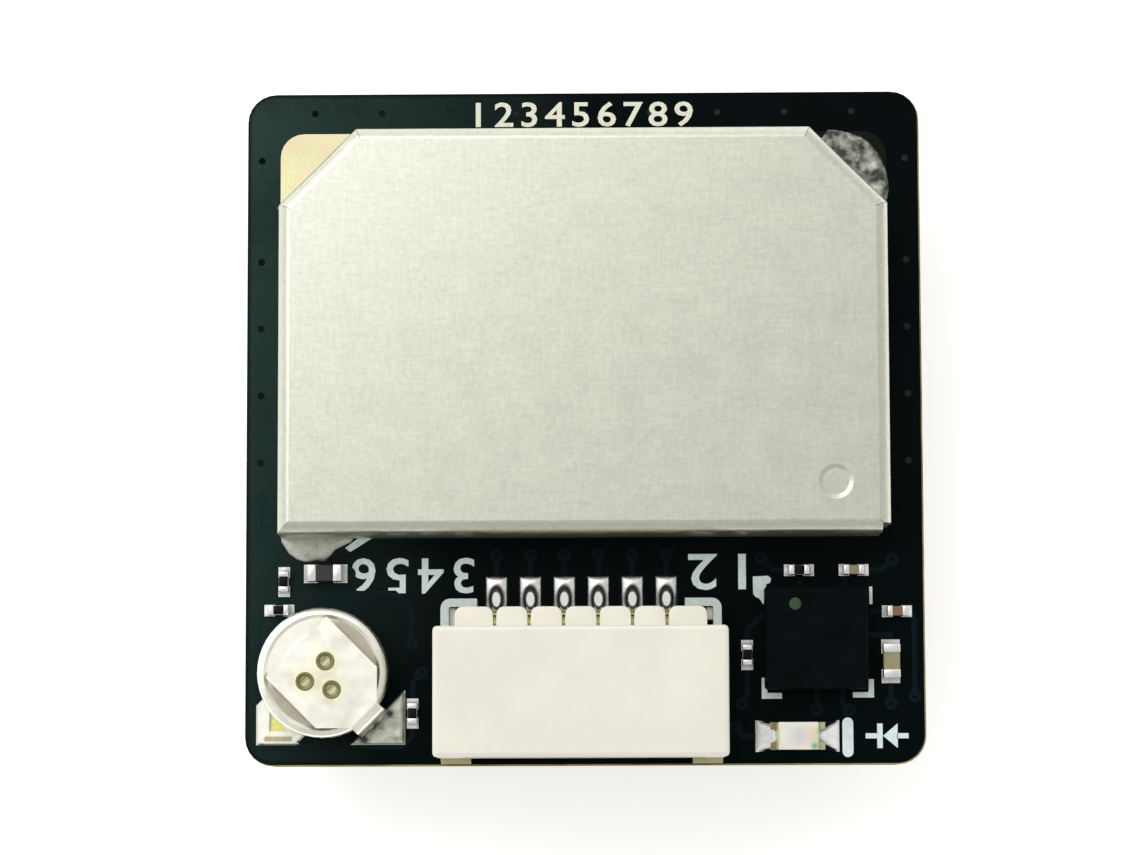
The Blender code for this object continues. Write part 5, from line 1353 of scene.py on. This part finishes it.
# Solder round a contact's foot: its half width, how far it runs behind the foot, its heap's box
JOINT_HALF = 0.32 * MM
JOINT_BEHIND = 0.48 * MM
JOINT_BOX = ((-0.35, -0.56), (0.35, 0.52))
JOINT_CELL = 0.022 * MM
JOINT_RIM = 0.1 * MM
# The bright oval on the foot: half width, half length, and its middle in front of the foot's end
OVAL = (0.12 * MM, 0.22 * MM)
OVAL_AHEAD = 0.2 * MM
# The collar that hugs the oval: its height and outer limit
COLLAR_HEIGHT = 0.246 * MM
COLLAR_LIMIT = 1.45


def oval_distance(across, along):
    """Distance from the middle of a contact's foot, 1 at the rim of its bright oval."""
    return math.hypot(across / OVAL[0], (along + OVAL_AHEAD) / OVAL[1])


def joint_height(across, along, mound):
    """Height of the solder beside a contact, from the middle of its foot's back edge."""
    edge = min(JOINT_HALF - abs(across), JOINT_BEHIND - along)
    if edge < 0:
        return SKIRT * edge
    near = oval_distance(across, along)
    rim = JOINT_RIM * (1 - math.exp(-edge / (0.05 * MM)))
    climb = mound * math.exp(-max(near - 1.3, 0) / 0.45)
    hook = COLLAR_HEIGHT if 1.0 < near < COLLAR_LIMIT else 0.0
    return max(rim + climb * min(1.0, edge / (0.12 * MM)), hook)


def joint_flux_and_shade(across, along):
    """Dark ring outside the oval: flux residue together with painted shade and dark reflection."""
    near = oval_distance(across, along)
    return max(0.0, min(1.0, (near - 0.9) / 0.15, (2.25 - near) / 0.5))


class MODULE_OT_add_connector_solder(Operator):
    """Adds the solder round the contacts' feet"""

    bl_idname = "module.add_connector_solder"
    bl_label = "Connector solder"

    def execute(self, context):
        mound = context.scene.module_connector.mound_height
        bm = bmesh.new()
        for x, back in contact_places():
            low, high = [(x + across, back + along) for across, along in metres(JOINT_BOX)]
            # Solder with a ring of flux and painted shade
            heap(bm, low, high, JOINT_CELL, LAND_TOP,
                 lambda px, py, x=x, back=back: joint_height(px - x, py - back, mound),
                 lambda px, py, x=x, back=back: joint_flux_and_shade(px - x, py - back))
        new_piece("connector_solder", bm, [finish("solder")], "tin", smooth=60.0)
        return {"FINISHED"}


# Cell

WELD_PLACES = ((-7.536, -6.966), (-8.124, -7.554), (-7.345, -7.792))
# How far the seal's outer side lies inside the case
SEAL_IN = 0.31 * MM
SEAL_SOFT = 0.02 * MM
# Painted light: the seal turns steel-white over this stretch of x - y, from the cell's middle
SEAL_LIT_SPAN = (-1.5 * MM, -0.9 * MM)
SHADED_STRIP = ((-9.42, -9.27), (-8.6, -9.12), 0.03)


class MODULE_OT_dress_cell(Operator):
    """Gives the cell's case, cap and terminals their finishes, and adds its seal"""

    bl_idname = "module.dress_cell"
    bl_label = "Cell"

    def execute(self, context):
        settings = context.scene.module_cell
        dress(["cell_case", "cell_cap"], finish("nickel-plated steel"))
        dress(["cell_base_terminal"], self.stained_steel(settings))
        dress(["cell_top_terminal"], self.welded_steel(settings))
        cap_low, cap_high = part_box("cell_cap")
        low, high = (corner.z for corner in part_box("cell_gasket"))
        inner = (cap_high.x - cap_low.x) / 2 - 0.01 * MM
        outer = (CELL_HIGH.x - CELL_LOW.x) / 2 - SEAL_IN
        profile = [(inner, low), (inner, high), (inner + SEAL_SOFT, high + SEAL_SOFT),
                   (outer - SEAL_SOFT, high + SEAL_SOFT), (outer, high), (outer, low)]
        bm = bmesh.new()
        spin(bm, profile, ((cap_low + cap_high) / 2).xy, 2 * context.scene.module_stage.round_segments)
        new_piece("cell_seal", bm, [self.seal(settings)], "gasket", ["cell_gasket"])
        return {"FINISHED"}

    @staticmethod
    def stained_steel(settings):
        """Nickel-plated steel, with painted shade in a dark strip along the lower terminal's front."""
        surface = Surface("stained steel", settings.steel_colour, 0.34, 1.0)
        cloud = surface.contrast(surface.noise(0.3 * MM))
        strip_shade = surface.shade(cloud, 0.85, 1.1, settings.strip_shade_colour)
        # Painted shade along the lower terminal's front
        surface.set("Base Color", surface.mix(surface.within(*SHADED_STRIP),
                                              surface.shade(cloud, 0.93, 1.05), strip_shade))
        surface.vary("Roughness", cloud, 0.28, 0.42)
        surface.relief(cloud, 0.004 * MM, 0.4)
        return surface.material

    @staticmethod
    def welded_steel(settings):
        """Nickel-plated steel with a faint heat tint beside each weld."""
        surface = Surface("welded steel", settings.steel_colour, 0.32, 1.0)
        cloud = surface.contrast(surface.noise(0.5 * MM))
        colour = surface.shade(cloud, 0.94, 1.05)
        tinted = surface.shade(cloud, 0.94, 1.04, settings.halo_colour)
        for place in metres(WELD_PLACES):
            near = surface.spread(surface.distance(*place), settings.weld_radius,
                                  settings.weld_radius * 2.2, 0.8, 0.0)
            colour = surface.mix(near, colour, tinted)
        surface.set("Base Color", colour)
        surface.vary("Roughness", cloud, 0.28, 0.4)
        surface.relief(surface.noise(0.06 * MM, 2.0), 0.003 * MM, 0.35)
        return surface.material

    @staticmethod
    def seal(settings):
        """Moulded seal, painted steel-white as if lit where it lies open past the terminal's far end."""
        surface = Surface("moulded gasket", settings.gasket_colour, 0.5)
        x, y, _ = surface.axes
        middle = (CELL_LOW + CELL_HIGH) / 2
        start, end = (middle.x - middle.y + part for part in SEAL_LIT_SPAN)
        # Painted light on the seal past the terminal's far end
        lit_part = surface.spread(surface.subtract(x, y), start, end, 1.0, 0.0)
        cloud = surface.contrast(surface.noise(0.3 * MM))
        lit_seal = surface.shade(cloud, 0.96, 1.03, settings.steel_colour)
        surface.set("Base Color", surface.mix(lit_part, surface.shade(cloud, 0.9, 1.05), lit_seal))
        surface.relief(cloud, 0.004 * MM, 0.4)
        return surface.material


# A weld's rim and pit: distance from its radius, or share of it, and level over the terminal
WELD_RIM = ((-0.12, -0.035), (-0.09, -0.006), (-0.03, 0.008), (0.02, 0.004), (0.03, -0.005),
            (0.0, -0.035))
PIT_EDGE = 0.1 * MM
PIT_LEVELS = (-0.04 * MM, -0.014 * MM, -0.02 * MM)
# Two bars that cross a weld's middle: shift, material slot
WELD_BARS = ((-0.06 * MM, 0), (0.03 * MM, 2))
BAR_RUN = 0.08 * MM
BAR_WIDTH = 0.04 * MM
BAR_LEVELS = (-0.045 * MM, -0.006 * MM)


class MODULE_OT_add_welds(Operator):
    """Adds the tinted rims, the pits and the ridges of the three welds"""

    bl_idname = "module.add_welds"
    bl_label = "Welds"

    def execute(self, context):
        radius = context.scene.module_cell.weld_radius
        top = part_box("cell_top_terminal")[1].z
        rim = [(radius + out, top + up) for out, up in metres(WELD_RIM)]
        root, edge, middle = (top + level for level in PIT_LEVELS)
        pit = [(0, root), (radius - PIT_EDGE, root), (radius - PIT_EDGE, edge), (0, middle)]
        bar_low, bar_high = (top + level for level in BAR_LEVELS)
        bm = bmesh.new()
        for x, y in metres(WELD_PLACES):
            spin(bm, rim, (x, y), 32)
            spin(bm, pit, (x, y), 32, closed=False, material=1)
            for shift, material in WELD_BARS:
                ends = [(x + shift + run, y - shift + run) for run in (-BAR_RUN, BAR_RUN)]
                with painted(bm, material):
                    ribbon(bm, ends, BAR_WIDTH, bar_low, bar_high)
        looks = [finish(name) for name in ("heat-tinted steel", "weld metal", "pale weld metal")]
        new_piece("weld_rims", bm, looks, "plated_steel")
        return {"FINISHED"}


# Outline of the upper terminal's foot, and the middle of its leg as x - y and x + y
CELL_FOOT = ((-5.33, -7.85), (-5.33, -9.33), (-6.81, -9.33))
FOOT_BOX = ((-7.0, -9.4), (-5.26, -7.7))
FOOT_SOLDER_LEVEL = FOOT_LEVEL + 0.12 * MM
LEG_MIDDLE = (2.55, -14.94)
LEG_REACH = 0.52 * MM
# Painted shadow in front of the leg, where the leg shades the foot, in the dark flux colour: how far it
# fades, where it gathers, and how dark it is
LEG_SHADOW_FADE = 0.2 * MM
LEG_SHADOW_SPOT = 0.08 * MM
SPOT_SHADOW, LINE_SHADOW = 1.8, 0.85
# Outline of the solder along the lower terminal
TERMINAL_RIM = ((-9.62, -9.37), (-8.4, -9.37), (-8.4, -9.24), (-9.62, -9.24))


def foot_shadow(x, y):
    """Painted shadow in a line before the terminal's leg, darkest at the leg's two sides."""
    out = (x - y - LEG_MIDDLE[0] * MM) / math.sqrt(2)
    across = abs(x + y - LEG_MIDDLE[1] * MM) / math.sqrt(2)
    spot = math.exp(-(math.hypot(out - LEG_SHADOW_SPOT, across - LEG_REACH) / LEG_SHADOW_FADE) ** 2)
    line = math.exp(-(max(0.0, out) / LEG_SHADOW_FADE) ** 2) if across < LEG_REACH else 0.0
    return SPOT_SHADOW * max(spot, LINE_SHADOW * line)


class MODULE_OT_add_cell_solder(Operator):
    """Adds the solder on the upper terminal's foot and along the lower terminal"""

    bl_idname = "module.add_cell_solder"
    bl_label = "Cell solder"

    def execute(self, context):
        bm = bmesh.new()
        skin = rounded_skin(metres(CELL_FOOT), 0.07 * MM, 0.06 * MM, 0.6, 0.25 * MM)
        # The foot's solder, with painted shadow beside the leg
        heap(bm, *metres(FOOT_BOX), 0.03 * MM, FOOT_SOLDER_LEVEL, skin, foot_shadow, 1)
        pool(bm, metres(TERMINAL_RIM), 0.14 * MM, 0.04 * MM, 0.03 * MM, 0.3)
        new_piece("cell_solder", bm, [finish("solder"), finish("dull solder")], "tin", smooth=60.0)
        return {"FINISHED"}


# Chips

# The pin one dot: its middle from the chip's left and rear sides, and its rings with their levels
DOT_FROM_LEFT, DOT_FROM_REAR = 0.88 * MM, 0.52 * MM
DOT_PROFILE = ((0, -0.028), (0.18, -0.028), (0.17, -0.02), (0, -0.018))


class MODULE_OT_dress_chips(Operator):
    """Gives the chips and the cans inside their finishes, and adds the pin one dot"""

    bl_idname = "module.dress_chips"
    bl_label = "Chips"

    def execute(self, context):
        dress(["compass_chip", "receiver_chip", "antenna_amplifier", "voltage_regulator"],
              finish("black moulding compound"))
        dress(["oscillator_base", "clock_crystal_base", "antenna_filter"], finish("beige ceramic"))
        dress(["oscillator_lid", "clock_crystal_lid"], finish("nickel-plated steel"))
        profile = [(radius, CHIP_HIGH.z + level) for radius, level in metres(DOT_PROFILE)]
        bm = bmesh.new()
        spin(bm, profile, (CHIP_LOW.x + DOT_FROM_LEFT, CHIP_HIGH.y - DOT_FROM_REAR), 24, closed=False)
        new_piece("pin_one_dot", bm, [finish("lasered compound")], "black_compound")
        return {"FINISHED"}


# Components

# Width of the end caps on bodies shorter than a limit, and how far the caps stand out
BANDS = ((0.8 * MM, 0.16 * MM), (1.5 * MM, 0.25 * MM), (9 * MM, 0.4 * MM))
BAND_STEP = 0.015 * MM
# Share of a resistor's height that its substrate takes
SUBSTRATE_SHARE = 0.72

# Side view of a fillet: shares of its reach and height
FILLET_SHAPE = ((0.0, 0.0), (1.0, 0.0), (0.96, 0.05), (0.62, 0.16), (0.32, 0.4), (0.12, 0.78),
                (0.0, 1.0))
# Half of a fillet from its middle out: shares of the half width, the reach and the climb
FILLET_HALF = ((0.0, 1.0, 1.0), (0.5, 1.0, 0.98), (0.85, 0.88, 0.8), (1.0, 0.62, 0.45))
FILLET_TOE = 0.15 * MM


def component_frame(node):
    """Place of a component's footprint, its length, width and height, and its end caps' width."""
    low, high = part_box(node)
    size = high - low
    turned = size.y > size.x
    length, width = (size.y, size.x) if turned else (size.x, size.y)
    middle = Vector(((low.x + high.x) / 2, (low.y + high.y) / 2, low.z))
    place = Matrix.Translation(middle) @ Matrix.Rotation(math.pi / 2 if turned else 0.0, 4, "Z")
    band = next(band for limit, band in BANDS if length < limit)
    return place, length, width, size.z, band


def add_component(bm, node, body, end, coat=None):
    """A chip component in its place: a body between two rounded end caps."""
    place, length, width, height, band = component_frame(node)
    made = bmesh.new()
    half, side, soft = length / 2, width / 2 - BAND_STEP, BAND_STEP
    base = height * SUBSTRATE_SHARE if coat is not None else height - BAND_STEP
    add_block(made, (-half + soft, -side, soft), (half - soft, side, base), soft, 1, body)
    if coat is not None:
        add_block(made, (-half + band * 0.8, -side * 0.94, base - soft),
                  (half - band * 0.8, side * 0.94, height - soft * 0.5), soft * 1.4, 2, coat)
    for sign in (-1, 1):
        inner, outer = sorted((sign * (half - band), sign * half))
        add_block(made, (inner, -width / 2, 0), (outer, width / 2, height), soft * 1.9, 3, end)
    set_down(bm, made, place)


def add_fillets(bm, node, share):
    """Solder at both ends of a component."""
    place, length, width, height, _ = component_frame(node)
    base = LAND_TOP - 0.002 * MM - place.translation.z
    rise = height * share - base
    outward = [(-across, *rest) for across, *rest in reversed(FILLET_HALF[1:])] + [*FILLET_HALF]
    for turn in (0.0, math.pi):
        sections = [[(reach * FILLET_TOE * x, across * width / 2, base + climb * rise * z)
                     for x, z in FILLET_SHAPE] for across, reach, climb in outward]
        made = bmesh.new()
        loft(made, sections)
        end = Matrix.Rotation(turn, 4, "Z") @ Matrix.Translation((length / 2 - BAND_STEP, 0, 0))
        set_down(bm, made, place @ end)


class MODULE_OT_add_components(Operator):
    """Adds the small components in front of the can, each as a piece of its own"""

    bl_idname = "module.add_components"
    bl_label = "Components"

    def execute(self, context):
        for node, kind in FRONT_COMPONENTS:
            slot, body = BODY_KINDS[kind]
            looks = [finish(body), finish("bright tin")]
            coat = None
            if kind == "resistor":
                looks.append(finish("glass overcoat"))
                coat = 2
            bm = bmesh.new()
            add_component(bm, node, 0, 1, coat)
            new_piece(f"{node}_body", bm, looks, slot, [node])
        return {"FINISHED"}


# The lamp's end joints: reach past the lamp, length, half width, and taper at left and right
FAN_REACH = 0.4 * MM
FAN_RUN = 0.62 * MM
FAN_HALF = 0.43 * MM
FAN_TAPER = {-1: 0.3, 1: 0.72}
FAN_LOW, FAN_CLIMB = 0.07 * MM, 0.2 * MM
FAN_MARGIN = 0.03 * MM


def add_fan(bm, side):
    """Solder that climbs from the land's edge into the notch at one end of the lamp."""
    outer = (LAMP_HIGH.x if side > 0 else LAMP_LOW.x) + side * FAN_REACH

    def skin(x, y):
        share = (outer - x) * side / FAN_RUN
        width = FAN_HALF * (1 - FAN_TAPER[side] * max(share, 0.0)) - abs(y - LAMP_MIDDLE.y)
        edge = min(width, (outer - x) * side)
        if edge < 0 or share > 1:
            return -abs(edge)
        climb = FAN_LOW + FAN_CLIMB * min(1.0, share * 1.25) ** 1.4
        return climb * (1 - math.exp(-edge / (0.045 * MM)))

    near, far = sorted((outer + side * FAN_MARGIN, outer - side * FAN_RUN))
    across = FAN_HALF + FAN_MARGIN
    heap(bm, (near, LAMP_MIDDLE.y - across), (far, LAMP_MIDDLE.y + across), 0.03 * MM, LAND_TOP, skin)


class MODULE_OT_add_component_solder(Operator):
    """Adds the solder fillets of the small components and the lamp"""

    bl_idname = "module.add_component_solder"
    bl_label = "Component solder"

    def execute(self, context):
        bm = bmesh.new()
        for node, _ in FRONT_COMPONENTS:
            add_fillets(bm, node, context.scene.module_parts.fillet_share)
        for side in (-1, 1):
            add_fan(bm, side)
        new_piece("component_solder", bm, [finish("clean solder")], "tin")
        return {"FINISHED"}


class MODULE_OT_add_inner_components(Operator):
    """Adds the components under the can as one piece"""

    bl_idname = "module.add_inner_components"
    bl_label = "Inner components"

    def execute(self, context):
        bm = bmesh.new()
        kinds = ["olive", "ferrite"]
        for node, kind in INNER_COMPONENTS:
            add_component(bm, node, kinds.index(kind), len(kinds))
        looks = [finish(BODY_KINDS[kind][1]) for kind in kinds] + [finish("bright tin")]
        new_piece("inner_components", bm, looks, "olive_dielectric",
                  [node for node, _ in INNER_COMPONENTS])
        return {"FINISHED"}


# Lamp

NOTCH_RADIUS = 0.2 * MM
# The plated ends: how far they run under the lens, and their faces below and above the base's top
END_UNDER_LENS = 0.1 * MM
END_LOW, END_HIGH = 0.006 * MM, 0.012 * MM
LENS_BEVEL = 0.03 * MM
LENS_DRAFT = 0.07 * MM


class MODULE_OT_add_lamp(Operator):
    """Adds the lamp: base, notched ends and clear resin over its reflector"""

    bl_idname = "module.add_lamp"
    bl_label = "Lamp"

    def execute(self, context):
        settings = context.scene.module_parts
        low, high = LAMP_LOW, LAMP_HIGH
        right = arc((high.x, LAMP_MIDDLE.y), NOTCH_RADIUS, 270, 90, 12)
        left = arc((low.x, LAMP_MIDDLE.y), NOTCH_RADIUS, 90, -90, 12)
        outline = [(low.x, low.y), (high.x, low.y), *right, (high.x, high.y), (low.x, high.y), *left]
        base = bmesh.new()
        add_prism(base, outline, low.z, high.z)
        new_piece("lamp_body", base, [finish("white laminate")], "white_laminate", ["lamp_base"])

        ends = bmesh.new()
        for outer, inner, notch, first, last in (
                (high.x, LENS_HIGH.x - END_UNDER_LENS, right, low.y, high.y),
                (low.x, LENS_LOW.x + END_UNDER_LENS, left, high.y, low.y)):
            outline = [(inner, first), (outer, first), *notch, (outer, last), (inner, last)]
            add_prism(ends, outline, high.z - END_LOW, high.z + END_HIGH)
        new_piece("lamp_ends", ends, [self.plating(settings)], "tin")

        lens = bmesh.new()
        add_block(lens, LENS_LOW, LENS_HIGH, LENS_BEVEL, 3)
        for vert in lens.verts:
            if vert.co.z > (LENS_LOW.z + LENS_HIGH.z) / 2:
                vert.co.x -= math.copysign(LENS_DRAFT, vert.co.x - LAMP_MIDDLE.x)
        new_piece("lamp_window", lens, [resin_material(settings)], "clear_resin", ["lamp_lens"])
        return {"FINISHED"}

    @staticmethod
    def plating(settings):
        """Gold plating painted darker as shade: brown at one end, yellow-green at the other."""
        surface = Surface("shaded gold", settings.lamp_shaded_gold_colour, 0.35, 0.6)
        cloud = surface.contrast(surface.noise(0.12 * MM))
        brown = surface.shade(cloud, 0.75, 1.1)
        green = surface.shade(cloud, 0.9, 1.1, settings.lamp_shaded_tint_colour)
        right = surface.above(surface.axes[0], LAMP_MIDDLE.x)
        surface.set("Base Color", surface.mix(right, brown, green))
        surface.relief(cloud, 0.004 * MM, 0.4)
        return surface.material


# Antenna

# Solder under the pin's head: part of its reach, distance past the head, level under the face
PIN_JOINT = ((0.0, -0.05, -0.002), (1.0, 0.0, -0.002), (0.9, 0.0, 0.02), (0.5, 0.0, 0.06),
             (0.18, 0.0, 0.14), (0.0, 0.0, 0.2), (0.0, -0.05, 0.2))


class MODULE_OT_dress_antenna(Operator):
    """Gives the antenna, its tape and its pin their finishes"""

    bl_idname = "module.dress_antenna"
    bl_label = "Antenna"

    def execute(self, context):
        dress(["antenna_ceramic"], finish("beige ceramic"))
        dress(["antenna_electrode", "antenna_ground_plane"], finish("fired silver"))
        dress(["antenna_tape"], finish("foam tape"))
        dress(["feed_pin"], finish("bright tin"))
        dress(["feed_solder_joint"], finish("solder"))
        return {"FINISHED"}


class MODULE_OT_add_pin_solder(Operator):
    """Adds the solder that holds the pin's head to the antenna's face"""

    bl_idname = "module.add_pin_solder"
    bl_label = "Pin solder"

    def execute(self, context):
        reach = context.scene.module_antenna.joint_reach
        low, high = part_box("feed_pin")
        head = (high.x - low.x) / 2
        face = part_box("antenna_electrode")[0].z
        profile = [(head + share * reach + past * MM, face - under * MM)
                   for share, past, under in PIN_JOINT]
        bm = bmesh.new()
        spin(bm, profile, ((low + high) / 2).xy, context.scene.module_stage.round_segments)
        new_piece("pin_solder", bm, [finish("solder")], "tin")
        return {"FINISHED"}


# Stage

# Where the sky brightens: a slope over the whole sky, and a window on one side
SKY_SLOPE = (0.0, 0.15, -0.24)
SKY_WINDOW = (-0.32, 0.32, 0.0)
LAMP_PLACE = (-0.07, 0.084, 0.19)
LAMP_COLOUR = (0.97, 0.985, 1.0)
# How far the floor glows where the camera, a reflection or clear resin sees it
FLOOR_GLOW = 0.4
CAMERA_TURN = (-5.77, -0.74, 0.27)
CAMERA_SHIFT = (0.418 * MM, 0.033 * MM, -110.0 * MM)
SENSOR_WIDTH = 36.0


class MODULE_OT_set_stage(Operator):
    """Sets the floor, the light and the camera"""

    bl_idname = "module.set_stage"
    bl_label = "Stage"

    def execute(self, context):
        settings = context.scene.module_stage
        self.add_floor(context, settings)
        self.add_sky(context, settings)
        self.add_soft_lamp(context, settings)
        self.add_camera(context, settings)
        context.scene.view_settings.view_transform = "Standard"
        return {"FINISHED"}

    def add_floor(self, context, settings):
        """A plain floor, as white as the backdrop where the camera sees it unshaded."""
        bm = bmesh.new()
        bmesh.ops.create_grid(bm, x_segments=1, y_segments=1, size=settings.floor_size / 2)
        mesh = bpy.data.meshes.new("floor")
        bm.to_mesh(mesh)
        bm.free()
        floor = bpy.data.objects.new("floor", mesh)
        context.scene.collection.objects.link(floor)
        surface = Surface("floor", settings.floor_colour, 0.9)
        surface.set("Specular IOR Level", 0.0)
        ray = surface.node("ShaderNodeLightPath").outputs
        seen = surface.larger(ray["Is Camera Ray"],
                              surface.larger(ray["Is Glossy Ray"], ray["Is Transmission Ray"]))
        surface.set("Emission Color", WHITE)
        surface.set("Emission Strength", surface.multiply(seen, FLOOR_GLOW))
        mesh.materials.append(surface.material)

    def add_sky(self, context, settings):
        """Even light from all round, brighter near the horizon, behind and at one window."""
        world = bpy.data.worlds.new("soft light")
        world.use_nodes = True
        sky = Network(world.node_tree)
        background = sky.tree.nodes["Background"].inputs
        heading = sky.node("ShaderNodeTexCoord").outputs["Generated"]
        level = sky.add(sky.dot(heading, SKY_SLOPE), settings.sky)
        window = sky.larger(sky.dot(heading, SKY_WINDOW), 0.0)
        seen = sky.node("ShaderNodeLightPath").outputs["Is Camera Ray"]
        sky.feed(background["Strength"], sky.blend(seen, sky.add(level, window), 1.0))
        sky.feed(background["Color"], WHITE)
        context.scene.world = world

    def add_soft_lamp(self, context, settings):
        light = bpy.data.lights.new("soft lamp", "AREA")
        light.size = settings.lamp_size
        light.energy = settings.lamp_power
        light.color = LAMP_COLOUR
        lamp = bpy.data.objects.new("soft_lamp", light)
        lamp.location = LAMP_PLACE
        lamp.rotation_euler = (-lamp.location).to_track_quat("-Z", "Y").to_euler()
        context.scene.collection.objects.link(lamp)

    def add_camera(self, context, settings):
        """The photograph's view, nearly straight down on the component side."""
        turn = Matrix.Identity(3)
        for angle, axis in zip(CAMERA_TURN, "XYZ"):
            turn = Matrix.Rotation(math.radians(angle), 3, axis) @ turn
        back = turn.transposed()
        place = -(back @ Vector(CAMERA_SHIFT)) + UP * BOARD_TOP
        data = bpy.data.cameras.new("camera")
        data.sensor_width = SENSOR_WIDTH
        data.lens = settings.lens
        data.clip_start = 0.001
        data.clip_end = 10.0
        camera = bpy.data.objects.new("camera", data)
        camera.matrix_world = Matrix.Translation(place) @ back.to_4x4()
        context.scene.collection.objects.link(camera)
        context.scene.camera = camera


OPERATORS = (
    MODULE_OT_dress_board,
    MODULE_OT_add_tracks,
    MODULE_OT_add_printed_marks,
    MODULE_OT_add_shield_can,
    MODULE_OT_add_can_solder,
    MODULE_OT_dress_connector,
    MODULE_OT_add_comb_teeth,
    MODULE_OT_add_connector_solder,
    MODULE_OT_dress_cell,
    MODULE_OT_add_welds,
    MODULE_OT_add_cell_solder,
    MODULE_OT_dress_chips,
    MODULE_OT_add_components,
    MODULE_OT_add_component_solder,
    MODULE_OT_add_inner_components,
    MODULE_OT_add_lamp,
    MODULE_OT_dress_antenna,
    MODULE_OT_add_pin_solder,
    MODULE_OT_set_stage,
)


class MODULE_PT_pieces(Panel):
    """Lists the operators and the settings of the module"""

    bl_idname = "MODULE_PT_pieces"
    bl_label = "Positioning module"
    bl_space_type = "VIEW_3D"
    bl_region_type = "UI"
    bl_category = "Module"

    def draw(self, context):
        for operator in OPERATORS:
            self.layout.operator(operator.bl_idname)
        for name, group in SETTINGS:
            box = self.layout.box()
            for key in group.__annotations__:
                box.prop(getattr(context.scene, name), key)


def register():
    for name, group in SETTINGS:
        bpy.utils.register_class(group)
        setattr(bpy.types.Scene, name, PointerProperty(type=group))
    for operator in OPERATORS:
        bpy.utils.register_class(operator)
    bpy.utils.register_class(MODULE_PT_pieces)


def unregister():
    bpy.utils.unregister_class(MODULE_PT_pieces)
    for operator in reversed(OPERATORS):
        bpy.utils.unregister_class(operator)
    for name, group in reversed(SETTINGS):
        delattr(bpy.types.Scene, name)
        bpy.utils.unregister_class(group)


def main():
    register()
    for operator in OPERATORS:
        category, name = operator.bl_idname.split(".")
        getattr(getattr(bpy.ops, category), name)()
    bpy.context.view_layer.update()


if __name__ == "__main__":
    main()
